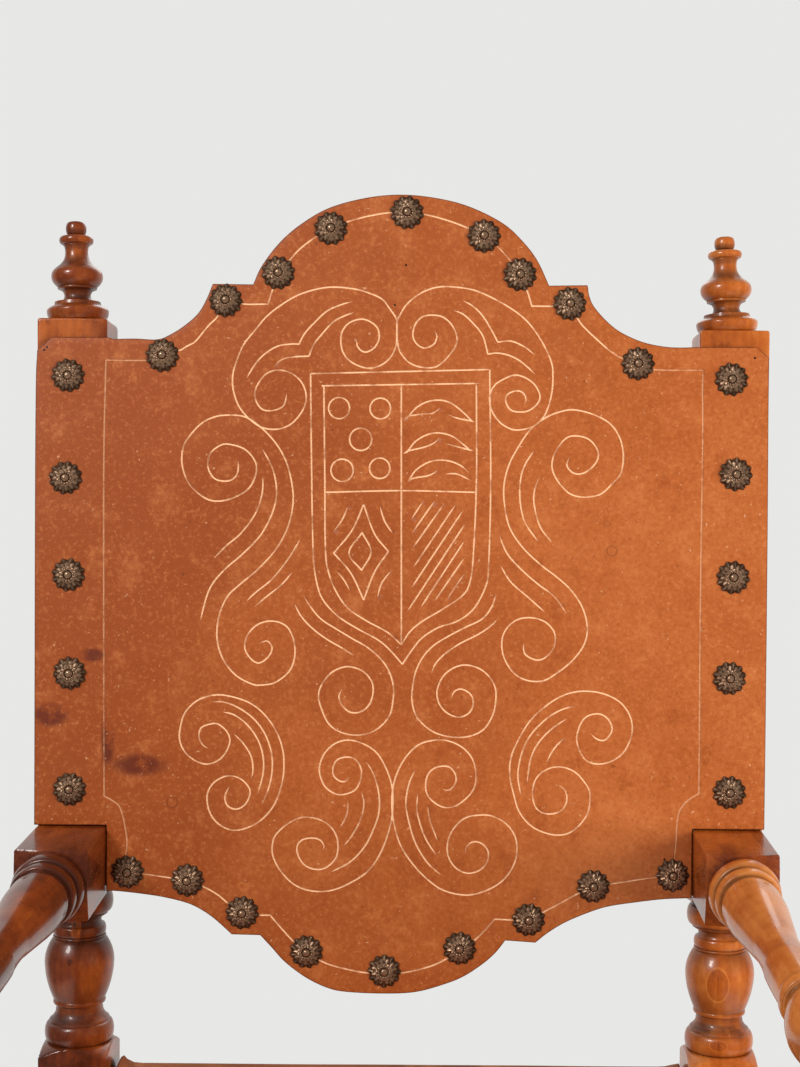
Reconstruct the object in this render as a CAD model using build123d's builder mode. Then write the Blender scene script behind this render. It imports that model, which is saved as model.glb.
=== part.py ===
from build123d import *
import os
from math import cos, radians, sin

# A Spanish friar's armchair: posts, legs, arms and stretchers turned from square stock,
# mortised and pegged together, with a thick nailed hide for its back and another for its seat.
# Lengths are in millimetres. The origin is on the floor under the middle of the chair's box,
# +Z is up, the front faces -Y, and +X is on the right hand of someone who looks at the front.

os.makedirs("parts", exist_ok=True)

# Driving sizes of the frame
frame_width = 584.0  # over the outer faces of the posts
leg_spacing = 450.0  # from the axis of the front legs to the axis of the rear posts
leg_stock = 56.0  # square stock of the legs, posts and arms
arris = 3.0  # rounding of the stock's long edges
back_rake = 5.0  # degrees that the back leans from the vertical
overrun = 5.0  # how far a cutter runs past what it cuts

# Heights from the floor
foot_height = 55.0
stretcher_block = 100.0  # square length of a leg that takes the stretchers
rail_top = 450.0
rail_height = 75.0
block_below_rail = 20.0  # square length of a leg under its seat rails
block_above_rail = 35.0  # and over them
support_length = 124.0  # turned length between the seat block and the arm

# Arms
rear_block = 68.0  # square length of the arm against the post
knob_length = 35.0  # turned end that stands out in front of the leg
arm_tenon_width = 20.0
arm_tenon_height = 34.0
arm_tenon_length = 40.0
leg_tenon_width = 26.0  # round tenon at the top of a front leg
leg_tenon_length = 36.0

# Posts over the arms, planed thinner from behind towards the top, with a finial on each. They
# were cut and turned by eye, and the left one came out longer.
post_above_arm = 401.0
left_post_excess = 6.0
post_top_depth = 44.0  # from front to back, at the top
finial_height = 78.5
left_finial_excess = 2.5
finial_tenon_width = 16.0
finial_tenon_length = 30.0
post_top_ease = 1.5

# Seat rails and their tenons; the end rails' tenons pass under the side rails' tenons
rail_thick = 28.0
rail_tenon_thick = 12.0
rail_tenon_height = 30.0
rail_tenon_length = 40.0
rail_tenon_shift = 18.0  # up or down from the middle of the rail

# Stretchers, with round tenons; the end ones stand higher than the side ones
stretcher_stock = 36.0
stretcher_end = 34.0  # square length at each end
stretcher_middle = 44.0  # square length in the middle
stretcher_tenon_width = 18.0
stretcher_tenon_length = 28.0
side_stretcher_rise = 30.0  # axis over the lower shoulder of the block
end_stretcher_rise = 70.0

# Cross rails behind the hide back
back_rail_thick = 24.0
back_rail_height = 58.0
top_rail_drop = 5.0  # from the hide's shoulder edge down to the top rail
bottom_rail_lift = 4.6  # from the hide's lower edge up to the bottom rail
back_tenon_thick = 12.0
back_tenon_height = 40.0
back_tenon_length = 15.0

# Fits
tenon_clearance = 0.2  # round each tenon, and at its end
peg_clearance = 0.1
nail_clearance = 0.2
hide_gap = 0.5  # between a cut edge of hide and the wood beside it

# Pegs through the tenons
peg_width = 8.0
peg_length = 40.0
peg_stand = 0.6  # how far a peg stands out of the wood

# Hide back: heights are along the rake, from the line of the arms' upper faces
hide_overhang = 0.5  # past the outer face of each post
hide_thick = 4.5
lining_thick = 2.5
lining_inset = 1.5
shoulder_height = 388.0  # straight upper edge beside the posts
upper_step_rise = 45.0  # from that edge up to the step in the scallop
arch_rise = 72.8  # from the step up to the top of the arch
corner_cut = 11.0
lower_edge_depth = 54.6
lower_step_drop = 32.9  # from the lower edge down to its step
lobe_drop = 44.5  # from the step down to the bottom of the lobe

# Rosette nails
nail_head_width = 27.0
nail_rim_height = 2.2
nail_rim_slope = 45.0  # degrees
nail_boss_width = 9.0
nail_boss_height = 1.6
rosette_sides = 8
boss_sides = 6
nail_shank = 3.0
nail_grip = 18.0  # length of shank in the wood
nail_clinch = 8.0  # shank bent flat behind the hide where there is no wood
column_inset = 26.5  # nails on the posts, from the edge of the hide

# Seat
seat_hide_thick = 4.0
seat_lining_thick = 1.5
seat_layer_gap = 0.3
seat_sag = 14.0
seat_flap = 50.0  # hide turned down over each rail
end_nail_margin = 36.0  # from the edge of an end flap to its first nail
side_nail_margin = 37.0
end_nail_count = 6
side_nail_count = 5

# Turned profiles, drawn by hand as rows from the lower or rear end: length, then the radius
# at the start, in the middle (None where the run is straight) and at the end. Lengths are
# shares of the sum of the column, and radii are shares of half the stock.
support_shares = (
    (16, 0.88, 0.985, 0.88),
    (2, 0.87, None, 0.86),
    (8, 0.84, 0.72, 0.68),
    (4, 0.67, None, 0.67),
    (3.5, 0.75, None, 0.75),
    (27, 0.74, 0.92, 0.985),
    (21, 0.985, 0.97, 0.80),
    (11.5, 0.77, None, 0.77),
    (7, 0.66, None, 0.66),
    (3.5, 0.82, None, 0.82),
    (16, 0.86, 0.98, 0.86),
    (4.5, 0.80, None, 0.80),
)
leg_shares = (
    (18, 0.84, 0.98, 0.84),
    (10, 0.70, None, 0.60),
    (6, 0.80, None, 0.80),
    (40, 0.66, 0.90, 0.97),
    (68, 0.97, 0.86, 0.52),
    (7, 0.68, None, 0.68),
    (12, 0.54, None, 0.68),
    (18, 0.84, 0.98, 0.84),
)
foot_shares = (
    (28, 0.72, 0.98, 0.72),
    (10, 0.58, None, 0.58),
    (14, 0.84, 0.96, 0.84),
)
arm_shares = (
    (3, 0.74, None, 0.74),
    (13, 0.84, 0.92, 0.84),
    (1.5, 0.78, None, 0.78),
    (11, 0.80, 0.86, 0.80),
    (2, 0.74, None, 0.74),
    (35, 0.73, 0.79, 0.80),
    (105, 0.80, 0.70, 0.48),
    (45, 0.48, 0.46, 0.50),
    (2, 0.56, None, 0.56),
    (9, 0.60, 0.63, 0.60),
    (2, 0.56, None, 0.56),
    (6, 0.50, None, 0.50),
    (34, 0.56, 0.74, 0.82),
    (28, 0.82, 0.80, 0.72),
    (2, 0.74, None, 0.74),
    (6, 0.62, None, 0.62),
    (11, 0.80, 0.86, 0.80),
    (1.5, 0.78, None, 0.78),
    (13, 0.84, 0.92, 0.84),
    (3, 0.74, None, 0.74),
)
knob_shares = (
    (6, 0.60, None, 0.60),
    (5, 0.84, None, 0.84),
    (4, 0.62, None, 0.62),
    (20, 0.72, 0.94, 0.30),
)
stretcher_shares = (
    (8, 0.92, None, 0.92),
    (4, 0.66, None, 0.66),
    (34, 0.72, None, 0.90),
    (56, 0.90, 0.80, 0.56),
    (6, 0.74, None, 0.74),
    (4, 0.56, None, 0.56),
    (8, 0.90, None, 0.90),
)
finial_shares = (
    (5.8, 0.84, 0.895, 0.90),
    (5.5, 0.90, 0.86, 0.72),
    (2.9, 0.67, None, 0.67),
    (8.8, 0.50, 0.395, 0.48),
    (3, 0.54, None, 0.54),
    (8, 0.56, 0.71, 0.75),
    (11.3, 0.75, 0.60, 0.42),
    (8.4, 0.42, 0.34, 0.32),
    (3.8, 0.32, None, 0.37),
    (1.3, 0.395, None, 0.395),
    (8.8, 0.42, 0.50, 0.42),
    (11.3, 0.20, 0.297, 0.08),
)
crown_share = 0.28  # of a bead's length, at each side of its crown
shoulder_flat_share = 0.94  # the lathe rounds the end of a block from here out,
shoulder_reach_share = 1.5  # to past its corners,
shoulder_drop_share = 0.4  # and this far back

# Widths of the hide's scallops, as shares of half its width. The lower lobe was cut by hand,
# to the left of the middle.
shoulder_half_share = 0.704  # where the upper edge starts to curve up
upper_step_outer_share = 0.5145
upper_step_inner_share = 0.4
lower_edge_half_share = 0.701
left_step_share = 0.082
right_step_share = 0.1026
lobe_half_share = 0.335
lobe_shift_share = -0.0479

# Places of the nails, set by eye. Widths are shares of half the hide's width. Heights are
# shares of the shoulder's height on the posts, and of a cross rail's height on the rails. On
# the arch and the lobe, 0 to 1 is from the straight edge to the step, and 1 to 2 to the crown.
column_shares = (0.073, 0.311, 0.519, 0.726, 0.926)
top_rail_nail_shares = ((-0.654, 0.878), (0.645, 0.826))
arch_nail_shares = (
    (-0.479, 0.70),
    (-0.336, 1.13),
    (-0.191, 1.63),
    (0.014, 1.81),
    (0.224, 1.56),
    (0.321, 1.14),
    (0.459, 0.70),
)
bottom_rail_nail_shares = ((-0.749, 0.209), (-0.588, 0.091), (0.522, 0.072), (0.741, 0.219))
lobe_nail_shares = (
    (-0.438, 0.44),
    (-0.263, 1.28),
    (-0.049, 1.63),
    (0.159, 1.20),
    (0.342, 0.57),
)
sag_shares = (0.02, 0.72, 1, 0.72, 0.02)  # dip of the seat at five steps from front to back

# Worked out from the sizes above
half_stock = leg_stock / 2
leg_x = frame_width / 2 - half_stock
inner_x = leg_x - half_stock
rake = radians(back_rake)
rail_middle = rail_top - rail_height / 2
stretcher_top = foot_height + stretcher_block
block_bottom = rail_top - rail_height - block_below_rail
block_top = rail_top + block_above_rail
arm_bottom = block_top + support_length
arm_axis = arm_bottom + half_stock
arm_top = arm_bottom + leg_stock
notch_rise = (arm_top + hide_gap - rail_top - half_stock * sin(rake)) / cos(rake)
post_rises = {"left": notch_rise + post_above_arm + left_post_excess,
              "right": notch_rise + post_above_arm}
finial_heights = {"left": finial_height + left_finial_excess, "right": finial_height}
finial_shift = half_stock - post_top_depth / 2  # from the stock's axis to the thinned top's
side_rail_clear = leg_spacing - leg_stock
end_rail_clear = 2 * inner_x
sides = {"left": -1, "right": 1}

def turned_points(shares, length, radius):
    """Points of a turned profile from height zero up. A row whose two ends are alike is a bead
    or a cove with a flat crown, and any other is a taper, or a swell through its middle."""
    total = sum(row[0] for row in shares)
    points = []
    height = 0
    for rise, start, middle, end in shares:
        top = height + length * rise / total
        points.append((radius * start, height))
        if middle is not None and start == end:
            points.append((radius * middle, height + (top - height) * crown_share))
            points.append((radius * middle, top - (top - height) * crown_share))
        elif middle is not None:
            points.append((radius * middle, (height + top) / 2))
        points.append((radius * end, top))
        height = top
    return [point for i, point in enumerate(points) if i == 0 or point != points[i - 1]]


# The finial reaches back farthest, and the box's middle follows from it.
back_reach = max(
    (post_rises[name] + height) * sin(rake) + (radius - finial_shift) * cos(rake)
    for name in sides
    for radius, height in turned_points(finial_shares, finial_heights[name], half_stock)
)
front_reach = half_stock + knob_length
rear_y = (leg_spacing + front_reach - back_reach) / 2
front_y = rear_y - leg_spacing
middle_y = (front_y + rear_y) / 2

# Planes of the raked back: the plane of the posts' front faces has its origin on the middle
# line, level with the arms' upper faces, and its y axis runs up the rake.
front_normal = Vector(0, -cos(rake), sin(rake))
up_rake = Vector(0, sin(rake), cos(rake))
bend = Vector(0, rear_y, rail_top)
post_front = Plane(
    origin=bend + up_rake * notch_rise + front_normal * half_stock,
    x_dir=(1, 0, 0),
    z_dir=front_normal,
)
mitre = Plane(origin=bend, x_dir=(1, 0, 0), z_dir=(0, sin(rake / 2), cos(rake / 2)))
post_front_y = (bend + front_normal * half_stock).Y + (
    (arm_axis - (bend + front_normal * half_stock).Z) * sin(rake) / cos(rake)
)


def turn(base, length, stock, shares, low_shoulder=True, high_shoulder=True):
    """Take the lathe's waste off a square blank. A block beside it keeps an arched shoulder."""
    radius = stock / 2
    flat = radius * shoulder_flat_share
    reach = radius * shoulder_reach_share
    drop = radius * shoulder_drop_share
    turned = turned_points(shares, length, radius)
    if low_shoulder:
        low = [(reach, -drop), (flat, 0)]
    else:
        low = [(reach, -overrun), (turned[0][0], -overrun)]
    if high_shoulder:
        high = [(flat, length), (reach, length + drop)]
    else:
        high = [(turned[-1][0], length + overrun), (reach, length + overrun)]
    section = Plane(origin=base.origin, x_dir=base.x_dir, z_dir=base.y_dir * -1)
    with BuildSketch(section) as waste:
        with BuildLine():
            Polyline(*low, *turned, *high, close=True)
        make_face()
    revolve(waste.sketch, axis=Axis(base.origin, base.z_dir), mode=Mode.SUBTRACT)


def mirrored(shares):
    """The same turned profile, read from its other end."""
    return tuple((rise, end, middle, start) for rise, start, middle, end in reversed(shares))


def cut_mortise(face, width, height, length, at=(0, 0)):
    """Cut a mortise into the wood behind a face, with clearance round its tenon."""
    with BuildSketch(face) as mouth:
        with Locations(at):
            Rectangle(width + 2 * tenon_clearance, height + 2 * tenon_clearance)
    extrude(mouth.sketch, amount=-(length + tenon_clearance), mode=Mode.SUBTRACT)


def cut_round(face, width, length, clearance, at=(0, 0)):
    """Cut a round mortise or a peg hole into the wood behind a face."""
    with BuildSketch(face) as mouth:
        with Locations(at):
            Circle(width / 2 + clearance)
    extrude(mouth.sketch, amount=-(length + clearance), mode=Mode.SUBTRACT)


def cut_nail_holes(face, places, depth):
    """Cut the square holes of nails into what lies behind a face."""
    with BuildSketch(face) as holes:
        with Locations(*places):
            Rectangle(nail_shank + 2 * nail_clearance, nail_shank + 2 * nail_clearance)
    extrude(holes.sketch, amount=-depth, mode=Mode.SUBTRACT)


def drive_nails(face, places, shank_length, clinched=False):
    """Rosette nails with their heads on a face: a dished rim, a boss and a square shank."""
    with BuildSketch(face) as rims:
        with Locations(*places):
            RegularPolygon(nail_head_width / 2, side_count=rosette_sides)
    extrude(rims.sketch, amount=nail_rim_height, taper=nail_rim_slope)
    with BuildSketch(face.offset(nail_rim_height)) as bosses:
        with Locations(*places):
            RegularPolygon(nail_boss_width / 2, side_count=boss_sides)
    extrude(bosses.sketch, amount=nail_boss_height)
    with BuildSketch(face) as shanks:
        with Locations(*places):
            Rectangle(nail_shank, nail_shank)
    extrude(shanks.sketch, amount=-shank_length)
    if clinched:
        with BuildSketch(face.offset(-shank_length)) as bends:
            with Locations(*[(x, y - (nail_clinch - nail_shank) / 2) for x, y in places]):
                Rectangle(nail_shank, nail_clinch)
        extrude(bends.sketch, amount=-nail_shank / 2)


def leg_faces(side, y, end):
    """The faces of a leg that take its rails: the one that faces inward, and the one beside."""
    inner = Plane(origin=(side * inner_x, y, rail_middle), x_dir=(0, 1, 0), z_dir=(-side, 0, 0))
    toward = Plane(
        origin=(side * leg_x, y - end * half_stock, rail_middle),
        x_dir=(1, 0, 0),
        z_dir=(0, -end, 0),
    )
    return inner, toward


def peg_faces(side, y, end):
    """Faces and places of the two pegs of a seat block, and the tenons that they lock."""
    outward = Plane(
        origin=(side * inner_x, y + end * half_stock, rail_middle - rail_tenon_shift),
        x_dir=(1, 0, 0),
        z_dir=(0, end, 0),
    )
    outer = Plane(
        origin=(side * (leg_x + half_stock), y - end * half_stock, rail_middle + rail_tenon_shift),
        x_dir=(0, 1, 0),
        z_dir=(side, 0, 0),
    )
    half_tenon = rail_tenon_length / 2
    return (outward, (side * half_tenon, 0)), (outer, (end * half_tenon, 0))


def shape_lower_leg(side, y, end):
    """Turn the foot and the lower leg, and cut the joints of the rails and the stretchers."""
    floor = Plane(origin=(side * leg_x, y, 0))
    turn(floor, foot_height, leg_stock, foot_shares, low_shoulder=False)
    turn(floor.offset(stretcher_top), block_bottom - stretcher_top, leg_stock, leg_shares)
    inner, toward = leg_faces(side, y, end)
    drop = (0, -rail_tenon_shift) if inner.y_dir.Z > 0 else (0, rail_tenon_shift)
    lift = (0, rail_tenon_shift) if toward.y_dir.Z > 0 else (0, -rail_tenon_shift)
    cut_mortise(inner, rail_tenon_thick, rail_tenon_height, rail_tenon_length, drop)
    cut_mortise(toward, rail_tenon_thick, rail_tenon_height, rail_tenon_length, lift)
    for face, rise in ((inner, end_stretcher_rise), (toward, side_stretcher_rise)):
        low = foot_height + rise - rail_middle
        place = (0, low * face.y_dir.Z)
        cut_round(face, stretcher_tenon_width, stretcher_tenon_length, tenon_clearance, place)
    for face, place in peg_faces(side, y, end):
        cut_round(face, peg_width, peg_length - peg_stand, peg_clearance, place)


# Rear posts: each is one length of stock, vertical to the seat and raked above it, re-centred
# on the lathe for the turned stretch of each half, and planed thinner behind the hide.
hide_half = frame_width / 2 + hide_overhang
column_x = hide_half - column_inset
column_places = [(column_x, shoulder_height * share) for share in column_shares]
back_rail_y = back_rail_thick / 2
arm_peg_back = arm_tenon_length / 2
for name, side in sides.items():
    axis = Plane(origin=(side * leg_x, rear_y, rail_top)).rotated((-back_rake, 0, 0))
    post_rise = post_rises[name]
    thinning = leg_stock - post_top_depth
    beyond = thinning * overrun / (post_rise - notch_rise)
    with BuildPart() as raked_half:
        with BuildSketch(axis.offset(-leg_stock)):
            RectangleRounded(leg_stock, leg_stock, arris)
        extrude(amount=leg_stock + post_rise)
        with BuildSketch(Plane(origin=axis.origin, x_dir=axis.y_dir, z_dir=axis.x_dir)):
            with BuildLine():
                Polyline((half_stock, notch_rise),
                         (half_stock - thinning - beyond, post_rise + overrun),
                         (half_stock + overrun, post_rise + overrun),
                         (half_stock + overrun, notch_rise), close=True)
            make_face()
        extrude(amount=leg_stock, both=True, mode=Mode.SUBTRACT)
        chamfer(raked_half.faces().sort_by(Axis.Z)[-1].edges(), post_top_ease)
        split(bisect_by=mitre, keep=Keep.TOP)
    with BuildPart() as rear_post:
        with BuildSketch(Plane(origin=(side * leg_x, rear_y, 0))):
            RectangleRounded(leg_stock, leg_stock, arris)
        extrude(amount=rail_top + leg_stock)
        split(bisect_by=mitre, keep=Keep.BOTTOM)
        add(raked_half.part)
        turn(axis.offset(block_above_rail), support_length, leg_stock, support_shares)
        shape_lower_leg(side, rear_y, 1)
        # Mortises of the arm, the finial and the two cross rails behind the hide
        arm_end = Plane(
            origin=(side * leg_x, post_front_y, arm_axis), x_dir=(1, 0, 0), z_dir=(0, -1, 0)
        )
        cut_mortise(arm_end.offset(overrun), arm_tenon_width, arm_tenon_height,
                    arm_tenon_length + overrun)
        cut_round(axis.offset(post_rise), finial_tenon_width, finial_tenon_length,
                  tenon_clearance, (0, -finial_shift))
        beside = Plane(
            origin=post_front.origin + Vector(side * inner_x, 0, 0) - front_normal * back_rail_y,
            x_dir=front_normal,
            z_dir=(-side, 0, 0),
        )
        top_rail_y = shoulder_height - top_rail_drop - back_rail_height / 2
        bottom_rail_y = -lower_edge_depth + bottom_rail_lift + back_rail_height / 2
        up = 1 if beside.y_dir.Z > 0 else -1
        for height in (top_rail_y, bottom_rail_y):
            cut_mortise(beside, back_tenon_thick, back_tenon_height, back_tenon_length,
                        (0, up * height))
        arm_peg_face = Plane(
            origin=(side * (leg_x + half_stock), post_front_y + arm_peg_back, arm_axis),
            x_dir=(0, 1, 0),
            z_dir=(side, 0, 0),
        )
        cut_round(arm_peg_face, peg_width, peg_length - peg_stand, peg_clearance)
        cut_nail_holes(post_front, [(side * x, y) for x, y in column_places], nail_grip)
    rear_post.part.label = f"rear_post_{name}"
    export_step(rear_post.part, f"parts/rear_post_{name}.step")

# Finials: turned by themselves, each with a round tenon into the top of its post.
for name, side in sides.items():
    axis = Plane(origin=(side * leg_x, rear_y, rail_top)).rotated((-back_rake, 0, 0))
    top = axis.offset(post_rises[name])
    base = Plane(origin=top.origin - top.y_dir * finial_shift, x_dir=top.x_dir, z_dir=top.z_dir)
    height = finial_heights[name]
    section = Plane(origin=base.origin, x_dir=base.x_dir, z_dir=base.y_dir * -1)
    with BuildPart() as finial:
        with BuildSketch(section):
            with BuildLine():
                outline = turned_points(finial_shares, height, half_stock)
                Polyline((0, 0), *outline, (0, height), close=True)
            make_face()
        revolve(axis=Axis(base.origin, base.z_dir))
        with BuildSketch(base):
            Circle(finial_tenon_width / 2)
        extrude(amount=-finial_tenon_length)
    finial.part.label = f"finial_{name}"
    export_step(finial.part, f"parts/finial_{name}.step")

# Front legs: turned like the rear posts, each with a round tenon up into its arm.
leg_peg_up = leg_tenon_length / 2
for name, side in sides.items():
    floor = Plane(origin=(side * leg_x, front_y, 0))
    with BuildPart() as front_leg:
        with BuildSketch(floor):
            RectangleRounded(leg_stock, leg_stock, arris)
        extrude(amount=arm_bottom)
        turn(floor.offset(block_top), support_length, leg_stock, support_shares,
             high_shoulder=False)
        shape_lower_leg(side, front_y, -1)
        with BuildSketch(floor.offset(arm_bottom)):
            Circle(leg_tenon_width / 2)
        extrude(amount=leg_tenon_length)
        leg_peg_face = Plane(
            origin=(side * (leg_x + half_stock), front_y, arm_bottom + leg_peg_up),
            x_dir=(0, 1, 0),
            z_dir=(side, 0, 0),
        )
        cut_round(leg_peg_face, peg_width, peg_length - peg_stand, peg_clearance)
    front_leg.part.label = f"front_leg_{name}"
    export_step(front_leg.part, f"parts/front_leg_{name}.step")

# Arms: a square block against the post, a turned stretch with a ring in its waist, a block
# on the leg and a knob.
arm_turning = post_front_y - rear_block - (front_y + half_stock)
for name, side in sides.items():
    arm_end = Plane(
        origin=(side * leg_x, post_front_y, arm_axis), x_dir=(1, 0, 0), z_dir=(0, -1, 0)
    )
    knob_start = rear_block + arm_turning + leg_stock
    with BuildPart() as arm:
        with BuildSketch(arm_end.offset(-overrun)):
            RectangleRounded(leg_stock, leg_stock, arris)
        extrude(amount=overrun + knob_start + knob_length)
        split(bisect_by=post_front, keep=Keep.TOP)
        turn(arm_end.offset(rear_block), arm_turning, leg_stock, arm_shares)
        turn(arm_end.offset(knob_start), knob_length, leg_stock, knob_shares,
             high_shoulder=False)
        with BuildSketch(arm_end.offset(overrun)):
            Rectangle(arm_tenon_width, arm_tenon_height)
        extrude(amount=-(overrun + arm_tenon_length))
        under = Plane(origin=(side * leg_x, front_y, arm_bottom), z_dir=(0, 0, -1))
        cut_round(under, leg_tenon_width, leg_tenon_length, tenon_clearance)
        for y, z in ((post_front_y + arm_peg_back, arm_axis), (front_y, arm_bottom + leg_peg_up)):
            peg_face = Plane(
                origin=(side * (leg_x + half_stock), y, z), x_dir=(0, 1, 0), z_dir=(side, 0, 0)
            )
            cut_round(peg_face, peg_width, peg_length - peg_stand, peg_clearance)
    arm.part.label = f"arm_{name}"
    export_step(arm.part, f"parts/arm_{name}.step")

# Seat rails: set in the middle of the legs' faces, with a tenon at each end.
flap_z = -seat_flap / 2 + rail_height / 2
end_nail_span = end_rail_clear - 2 * end_nail_margin
side_nail_span = side_rail_clear - 2 * side_nail_margin
end_nail_places = [
    (end_nail_span * (i / (end_nail_count - 1) - 1 / 2), flap_z) for i in range(end_nail_count)
]
side_nail_places = [
    (side_nail_span * (i / (side_nail_count - 1) - 1 / 2), flap_z)
    for i in range(side_nail_count)
]
rail_reach = rail_thick / 2
rails = {
    "front": (Vector(0, front_y, rail_middle), Vector(0, -1, 0), end_rail_clear),
    "back": (Vector(0, rear_y, rail_middle), Vector(0, 1, 0), end_rail_clear),
    "left": (Vector(-leg_x, middle_y, rail_middle), Vector(-1, 0, 0), side_rail_clear),
    "right": (Vector(leg_x, middle_y, rail_middle), Vector(1, 0, 0), side_rail_clear),
}
for name, (centre, outward, clear) in rails.items():
    along = Vector(0, 0, 1).cross(outward)
    across = Plane(origin=centre, x_dir=outward, z_dir=along)
    face = Plane(origin=centre + outward * rail_reach, x_dir=along, z_dir=outward)
    is_end = name in ("front", "back")
    shift = -rail_tenon_shift if is_end else rail_tenon_shift
    places = end_nail_places if is_end else side_nail_places
    with BuildPart() as seat_rail:
        with BuildSketch(across):
            Rectangle(rail_thick, rail_height)
        extrude(amount=clear / 2, both=True)
        with BuildSketch(across):
            with Locations((0, shift * across.y_dir.Z)):
                Rectangle(rail_tenon_thick, rail_tenon_height)
        extrude(amount=clear / 2 + rail_tenon_length, both=True)
        for end in (1, -1):
            peg_place = (end * (clear / 2 + rail_tenon_length / 2), shift)
            cut_round(face, peg_width, rail_thick, peg_clearance, peg_place)
        cut_nail_holes(face, places, nail_grip)
    seat_rail.part.label = f"seat_rail_{name}"
    export_step(seat_rail.part, f"parts/seat_rail_{name}.step")

# Stretchers: turned from lighter stock, square at the ends and in the middle.
stretchers = {
    "front": (Vector(-inner_x, front_y, 0), Vector(1, 0, 0), end_rail_clear),
    "back": (Vector(-inner_x, rear_y, 0), Vector(1, 0, 0), end_rail_clear),
    "left": (Vector(-leg_x, front_y + half_stock, 0), Vector(0, 1, 0), side_rail_clear),
    "right": (Vector(leg_x, front_y + half_stock, 0), Vector(0, 1, 0), side_rail_clear),
}
for name, (start, along, clear) in stretchers.items():
    rise = foot_height + (end_stretcher_rise if along.X else side_stretcher_rise)
    base = Plane(origin=start + Vector(0, 0, rise), x_dir=(0, 0, 1), z_dir=along)
    turned = (clear - 2 * stretcher_end - stretcher_middle) / 2
    with BuildPart() as stretcher:
        with BuildSketch(base):
            RectangleRounded(stretcher_stock, stretcher_stock, arris / 2)
        extrude(amount=clear)
        turn(base.offset(stretcher_end), turned, stretcher_stock, stretcher_shares)
        turn(base.offset(stretcher_end + turned + stretcher_middle), turned, stretcher_stock,
             mirrored(stretcher_shares))
        with BuildSketch(base.offset(-stretcher_tenon_length)):
            Circle(stretcher_tenon_width / 2)
        extrude(amount=stretcher_tenon_length)
        with BuildSketch(base.offset(clear)):
            Circle(stretcher_tenon_width / 2)
        extrude(amount=stretcher_tenon_length)
    stretcher.part.label = f"stretcher_{name}"
    export_step(stretcher.part, f"parts/stretcher_{name}.step")

# Pegs: one through each tenon of the seat rails, the arms and the front legs.
with BuildPart() as joint_pegs:
    for side in sides.values():
        for y, end in ((front_y, -1), (rear_y, 1)):
            for face, place in peg_faces(side, y, end):
                with BuildSketch(face.offset(peg_stand)):
                    with Locations(place):
                        Circle(peg_width / 2)
                extrude(amount=-peg_length)
        for y, z in ((post_front_y + arm_peg_back, arm_axis), (front_y, arm_bottom + leg_peg_up)):
            with BuildSketch(Plane(
                origin=(side * (leg_x + half_stock + peg_stand), y, z), z_dir=(side, 0, 0)
            )):
                Circle(peg_width / 2)
            extrude(amount=-peg_length)
joint_pegs.part.label = "joint_pegs"
export_step(joint_pegs.part, "parts/joint_pegs.step")

# Cross rails of the back: flush with the posts' front faces, so that the hide lies on them.
top_rail_places = [
    (x * hide_half, top_rail_y + (y - 1 / 2) * back_rail_height) for x, y in top_rail_nail_shares
]
bottom_rail_places = [
    (x * hide_half, bottom_rail_y + (y - 1 / 2) * back_rail_height)
    for x, y in bottom_rail_nail_shares
]
back_rails = {
    "top": (top_rail_y, top_rail_places),
    "bottom": (bottom_rail_y, bottom_rail_places),
}
for name, (height, places) in back_rails.items():
    with BuildPart() as back_rail:
        with BuildSketch(post_front):
            with Locations((0, height)):
                Rectangle(end_rail_clear, back_rail_height)
        extrude(amount=-back_rail_thick)
        with BuildSketch(post_front.offset(-(back_rail_thick - back_tenon_thick) / 2)):
            with Locations((0, height)):
                Rectangle(end_rail_clear + 2 * back_tenon_length, back_tenon_height)
        extrude(amount=-back_tenon_thick)
        cut_nail_holes(post_front, places, nail_grip)
    back_rail.part.label = f"back_rail_{name}"
    export_step(back_rail.part, f"parts/back_rail_{name}.step")

# Hide back: a thick tooled panel with a scalloped top and bottom, notched round each arm, and
# a plain lining of the same outline behind it.
notch_half = inner_x - hide_gap
notch_edge = -lower_edge_depth
shoulder_half = shoulder_half_share * hide_half
upper_step_outer = upper_step_outer_share * hide_half
upper_step_inner = upper_step_inner_share * hide_half
upper_step_height = shoulder_height + upper_step_rise
arch_height = upper_step_height + arch_rise
lower_edge_half = lower_edge_half_share * hide_half
lower_step_depth = lower_edge_depth + lower_step_drop
lobe_shift = lobe_shift_share * hide_half
lobe_left = lobe_shift - lobe_half_share * hide_half
lobe_right = lobe_shift + lobe_half_share * hide_half
left_step = left_step_share * hide_half
right_step = right_step_share * hide_half
lobe_depth = lower_step_depth + lobe_drop


def scallop_places(shares, edge, step_rise, crown_rise):
    """Places of nails between a straight edge, its step (level 1) and its crown (level 2)."""
    return [
        (x * hide_half, edge + min(level, 1) * step_rise + max(level - 1, 0) * crown_rise)
        for x, level in shares
    ]


arch_places = scallop_places(arch_nail_shares, shoulder_height, upper_step_rise, arch_rise)
lobe_places = scallop_places(lobe_nail_shares, notch_edge, -lower_step_drop, -lobe_drop)
wood_places = [(side * x, y) for side in sides.values() for x, y in column_places]
wood_places += top_rail_places + bottom_rail_places
free_places = arch_places + lobe_places


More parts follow.
